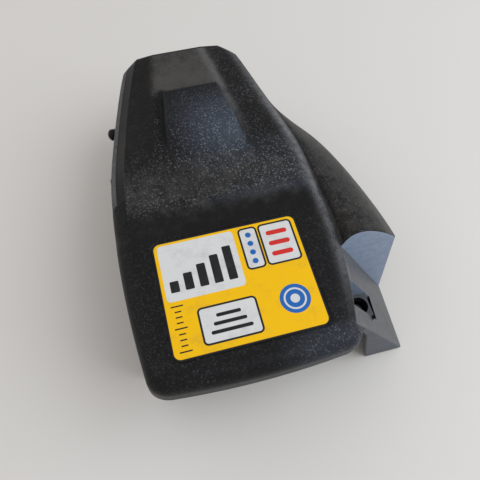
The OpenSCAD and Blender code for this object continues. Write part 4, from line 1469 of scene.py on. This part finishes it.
def foot_plate(shape):
    """Flat upright plate at the skirt's front end, which runs down to a pointed foot."""
    top_x = float(shape.crease_x(np.array([-FOOT_Y]))[0]) + CREASE_W / 2 - FOOT_INSET
    base_z = FOOT_RIM_GAP - shape.height
    outline = [
        FOOT_TOP, FOOT_KNEE, (FOOT_INNER_X, base_z), (SKIRT_FRONT_RIM - FOOT_INSET, base_z),
        (top_x, -CREASE_FALL - FOOT_INSET),
    ]
    front = FOOT_Y + FOOT_PROUD
    points, faces = slab(outline, front - FOOT_T, front, FOOT_BEVEL, FOOT_MIDDLE)
    return points[:, [0, 2, 1]] * [1, -1, 1], faces, FOOT_LOOK


def screw_boss(seat, axis, top):
    """Screw boss: its section runs from the head's room through the sleeve's bore and round the outside.

    Above the gap's floor, its side is flat where it would stand out into the gap.
    """
    section = (
        (HEAD_ROOM_R, top), (HEAD_ROOM_R, 0.0), (SLEEVE_R, 0.0), (SLEEVE_R, -SLEEVE_L),
        (RETAINER_R, -SLEEVE_L), (RETAINER_R, -BOSS_L), (BOSS_R - BOSS_BEVEL, -BOSS_L),
        (BOSS_R, BOSS_BEVEL - BOSS_L), (BOSS_R, GAP_LEVEL - GAP_STEP), (BOSS_R, GAP_LEVEL), (BOSS_R, top),
    )
    points, faces = turned_profile(section, seat, axis, BOSS_STEPS)
    in_gap = (points[:, 2] > GAP_FLOOR - GAP_STEP / 2) & (points[:, 0] > GAP_X)
    points[in_gap, 0] = GAP_X
    return points, faces, FITTING_LOOK


class COVER_OT_shell(bpy.types.Operator):
    """Moulded shell: outer skin with the flat facet and rim, inner skin, screw well and foot plate."""

    bl_idname = "cover.shell"
    bl_label = "Moulded shell"

    def execute(self, context):
        shape = CoverShape(context.scene.cover_sizes)
        plastic = cover_plastic(context.scene.cover_finish)
        skin, edges = outer_skin(shape)
        pieces = {
            "cover_skin": skin,
            "cover_inside": [inner_skin(shape)],
            "screw_well": screw_well(shape, edges),
            "foot_plate": [foot_plate(shape)],
        }
        for name, parts in pieces.items():
            add_piece(name, parts, "cover", plastic, ["cover_shell"])
        return {"FINISHED"}


class COVER_OT_fittings(bpy.types.Operator):
    """Bosses, posts, partition and lug that are moulded with the shell."""

    bl_idname = "cover.fittings"
    bl_label = "Moulded fittings"

    def execute(self, context):
        plastic = bpy.data.materials["cover_plastic"]
        parts = [screw_boss(seat, axis, BOSS_TOPS[place]) for place, (seat, axis) in SEATS.items()]
        for x, y in POSTS:
            post = turned_profile(POST_PROFILE, (x, y, 0.0), (0, 0, 1), POST_STEPS, POST_PROFILE[0][1])
            parts.append((*post, FITTING_LOOK))
        for box, bevel in ((PARTITION, PARTITION_BEVEL), (LUG, LUG_BEVEL)):
            parts.append((*block(*box, bevel), FITTING_LOOK))
        add_piece("moulded_fittings", parts, "cover", plastic, ["cover_shell"])
        return {"FINISHED"}


class COVER_OT_label(bpy.types.Operator):
    """Printed label in its pocket."""

    bl_idname = "cover.label"
    bl_label = "Label"

    def execute(self, context):
        sizes = context.scene.cover_sizes
        half_w = sizes.label_width / MM / 2
        half_l = sizes.label_length / MM / 2
        outline = rounded_outline(half_w, half_l, sizes.label_corner / MM) + [0, LABEL_Y]
        points, faces = slab(outline, -POCKET_DEPTH, LABEL_T - POCKET_DEPTH, LABEL_BEVEL)
        film = label_film(context.scene.cover_finish)
        add_piece("label_print", [(points, faces, {})], "cover", film, ["label"])
        return {"FINISHED"}


class COVER_OT_screws(bpy.types.Operator):
    """Three screws with threads: two with knurled socket heads, and a grooved dome on the left."""

    bl_idname = "cover.screws"
    bl_label = "Screws"

    def execute(self, context):
        finish = context.scene.cover_finish
        looks = {
            "dark_steel": steel("dull_zinc", finish.dark_steel, roughness=0.42, grime=0.7),
            "black_steel": steel("black_oxide", finish.black_steel, roughness=0.4, grime=0.3),
        }
        for place, (seat, axis) in SEATS.items():
            slot = "black_steel" if place == "left" else "dark_steel"
            part = (*screw_surface(seat, axis, place == "left"), {})
            body = place + "_screw"
            add_piece(place + "_thread_screw", [part], body, looks[slot], [body])
        return {"FINISHED"}


class COVER_OT_metal(bpy.types.Operator):
    """Finishes of the washers, sleeves, retainers, heat shield, nuts and foam seal."""

    bl_idname = "cover.metal"
    bl_label = "Small fittings"

    def execute(self, context):
        finish = context.scene.cover_finish
        plain = steel("plain_steel", finish.plain_steel, roughness=0.36, grime=0.5)
        ring = nylon(finish)
        looks = {
            "push_nuts": plain,
            "heat_shield": steel("rolled_sheet", finish.shield, roughness=0.34, grime=0.35),
            "baffle_seal": foam(finish),
        }
        for place in SEATS:
            looks[place + "_washer"] = plain
            looks[place + "_sleeve"] = plain
            looks[place + "_retainer"] = ring
        for node, material in looks.items():
            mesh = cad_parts[node].data
            mesh.materials.clear()
            mesh.materials.append(material)
        return {"FINISHED"}


class COVER_OT_stage(bpy.types.Operator):
    """Pale floor, window and room light, pale world and the camera."""

    bl_idname = "cover.stage"
    bl_label = "Stage"

    def execute(self, context):
        look = context.scene.stage_look
        scene = context.scene
        scene.view_settings.view_transform = "Standard"
        line = np.linspace(-FLOOR_HALF, FLOOR_HALF, FLOOR_LINES)
        x, y = np.meshgrid(line, line)
        points = np.stack([x, y, 0 * x], axis=-1).reshape(-1, 3)
        mesh = bpy.data.meshes.new("floor")
        mesh.from_pydata(points, [], grid_faces(FLOOR_LINES, FLOOR_LINES).tolist())
        mesh.materials.append(floor_top(look))
        floor = bpy.data.objects.new("floor", mesh)
        scene.collection.objects.link(floor)
        self.lamp(scene, "window", look.window, look.window_power, WINDOW_SPOT)
        self.lamp(scene, "room", look.room, look.room_power, ROOM_SPOT)
        self.world(scene)
        camera = bpy.data.cameras.new("camera")
        camera.sensor_width = CAMERA_SENSOR
        camera.lens = CAMERA_LENS
        eye = bpy.data.objects.new("camera", camera)
        eye.location = to_part(CAMERA_SPOT)
        eye.rotation_euler = (math.pi / 2 - CAMERA_DOWN, 0.0, CAMERA_TURN)
        scene.collection.objects.link(eye)
        scene.camera = eye
        return {"FINISHED"}

    def lamp(self, scene, name, tint, watts, spot):
        """Square area lamp at a spot, turned to the object."""
        light = bpy.data.lights.new(name, "AREA")
        light.color = tint
        light.energy = watts
        light.size = LAMP_SIZE
        lamp = bpy.data.objects.new(name, light)
        lamp.location = spot
        way = np.asarray(LAMP_AIM) - np.asarray(spot)
        flat = math.hypot(way[0], way[1])
        lamp.rotation_euler = (math.atan2(flat, -way[2]), 0.0, math.atan2(-way[0], way[1]))
        scene.collection.objects.link(lamp)

    def world(self, scene):
        """Soft light from all round, and a pale backdrop where the camera or a reflection sees it."""
        world = bpy.data.worlds.new("pale_room")
        scene.world = world
        world.use_nodes = True
        tree = world.node_tree
        tree.nodes.clear()
        paths = tree.nodes.new("ShaderNodeLightPath")
        seen = paths.outputs["Is Camera Ray"]
        for ray in ("Is Glossy Ray", "Is Transmission Ray"):
            either = tree.nodes.new("ShaderNodeMath")
            either.operation = "MAXIMUM"
            tree.links.new(seen, either.inputs[0])
            tree.links.new(paths.outputs[ray], either.inputs[1])
            seen = either.outputs[0]
        choice = tree.nodes.new("ShaderNodeMixShader")
        tree.links.new(seen, choice.inputs[0])
        for place, tint, strength in ((1, SKY, SKY_STRENGTH), (2, BACKDROP, BACKDROP_STRENGTH)):
            glow = tree.nodes.new("ShaderNodeBackground")
            glow.inputs["Color"].default_value = (*tint, 1.0)
            glow.inputs["Strength"].default_value = strength
            tree.links.new(glow.outputs[0], choice.inputs[place])
        out = tree.nodes.new("ShaderNodeOutputWorld")
        tree.links.new(choice.outputs[0], out.inputs["Surface"])


OPERATORS = (
    COVER_OT_shell, COVER_OT_fittings, COVER_OT_label, COVER_OT_screws, COVER_OT_metal, COVER_OT_stage,
)


class COVER_PT_panel(bpy.types.Panel):
    """Lists the pieces and the values that may be changed."""

    bl_idname = "COVER_PT_panel"
    bl_label = "Cylinder cover"
    bl_space_type = "VIEW_3D"
    bl_region_type = "UI"
    bl_category = "Cover"

    def draw(self, context):
        scene = context.scene
        for group in (scene.cover_sizes, scene.cover_finish, scene.stage_look):
            for name in group.bl_rna.properties.keys():
                if name not in ("rna_type", "name"):
                    self.layout.prop(group, name)
        for operator in OPERATORS:
            self.layout.operator(operator.bl_idname)


CLASSES = (CoverSizes, CoverFinish, StageLook, *OPERATORS, COVER_PT_panel)


def register():
    """Adds the classes, and their groups of values to the scene."""
    for cls in CLASSES:
        bpy.utils.register_class(cls)
    bpy.types.Scene.cover_sizes = bpy.props.PointerProperty(type=CoverSizes)
    bpy.types.Scene.cover_finish = bpy.props.PointerProperty(type=CoverFinish)
    bpy.types.Scene.stage_look = bpy.props.PointerProperty(type=StageLook)


def unregister():
    """Takes away what register adds."""
    del bpy.types.Scene.stage_look
    del bpy.types.Scene.cover_finish
    del bpy.types.Scene.cover_sizes
    for cls in reversed(CLASSES):
        bpy.utils.unregister_class(cls)


def main():
    """Builds every piece and the stage."""
    register()
    bpy.ops.cover.shell()
    bpy.ops.cover.fittings()
    bpy.ops.cover.label()
    bpy.ops.cover.screws()
    bpy.ops.cover.metal()
    bpy.ops.cover.stage()


if __name__ == "__main__":
    main()
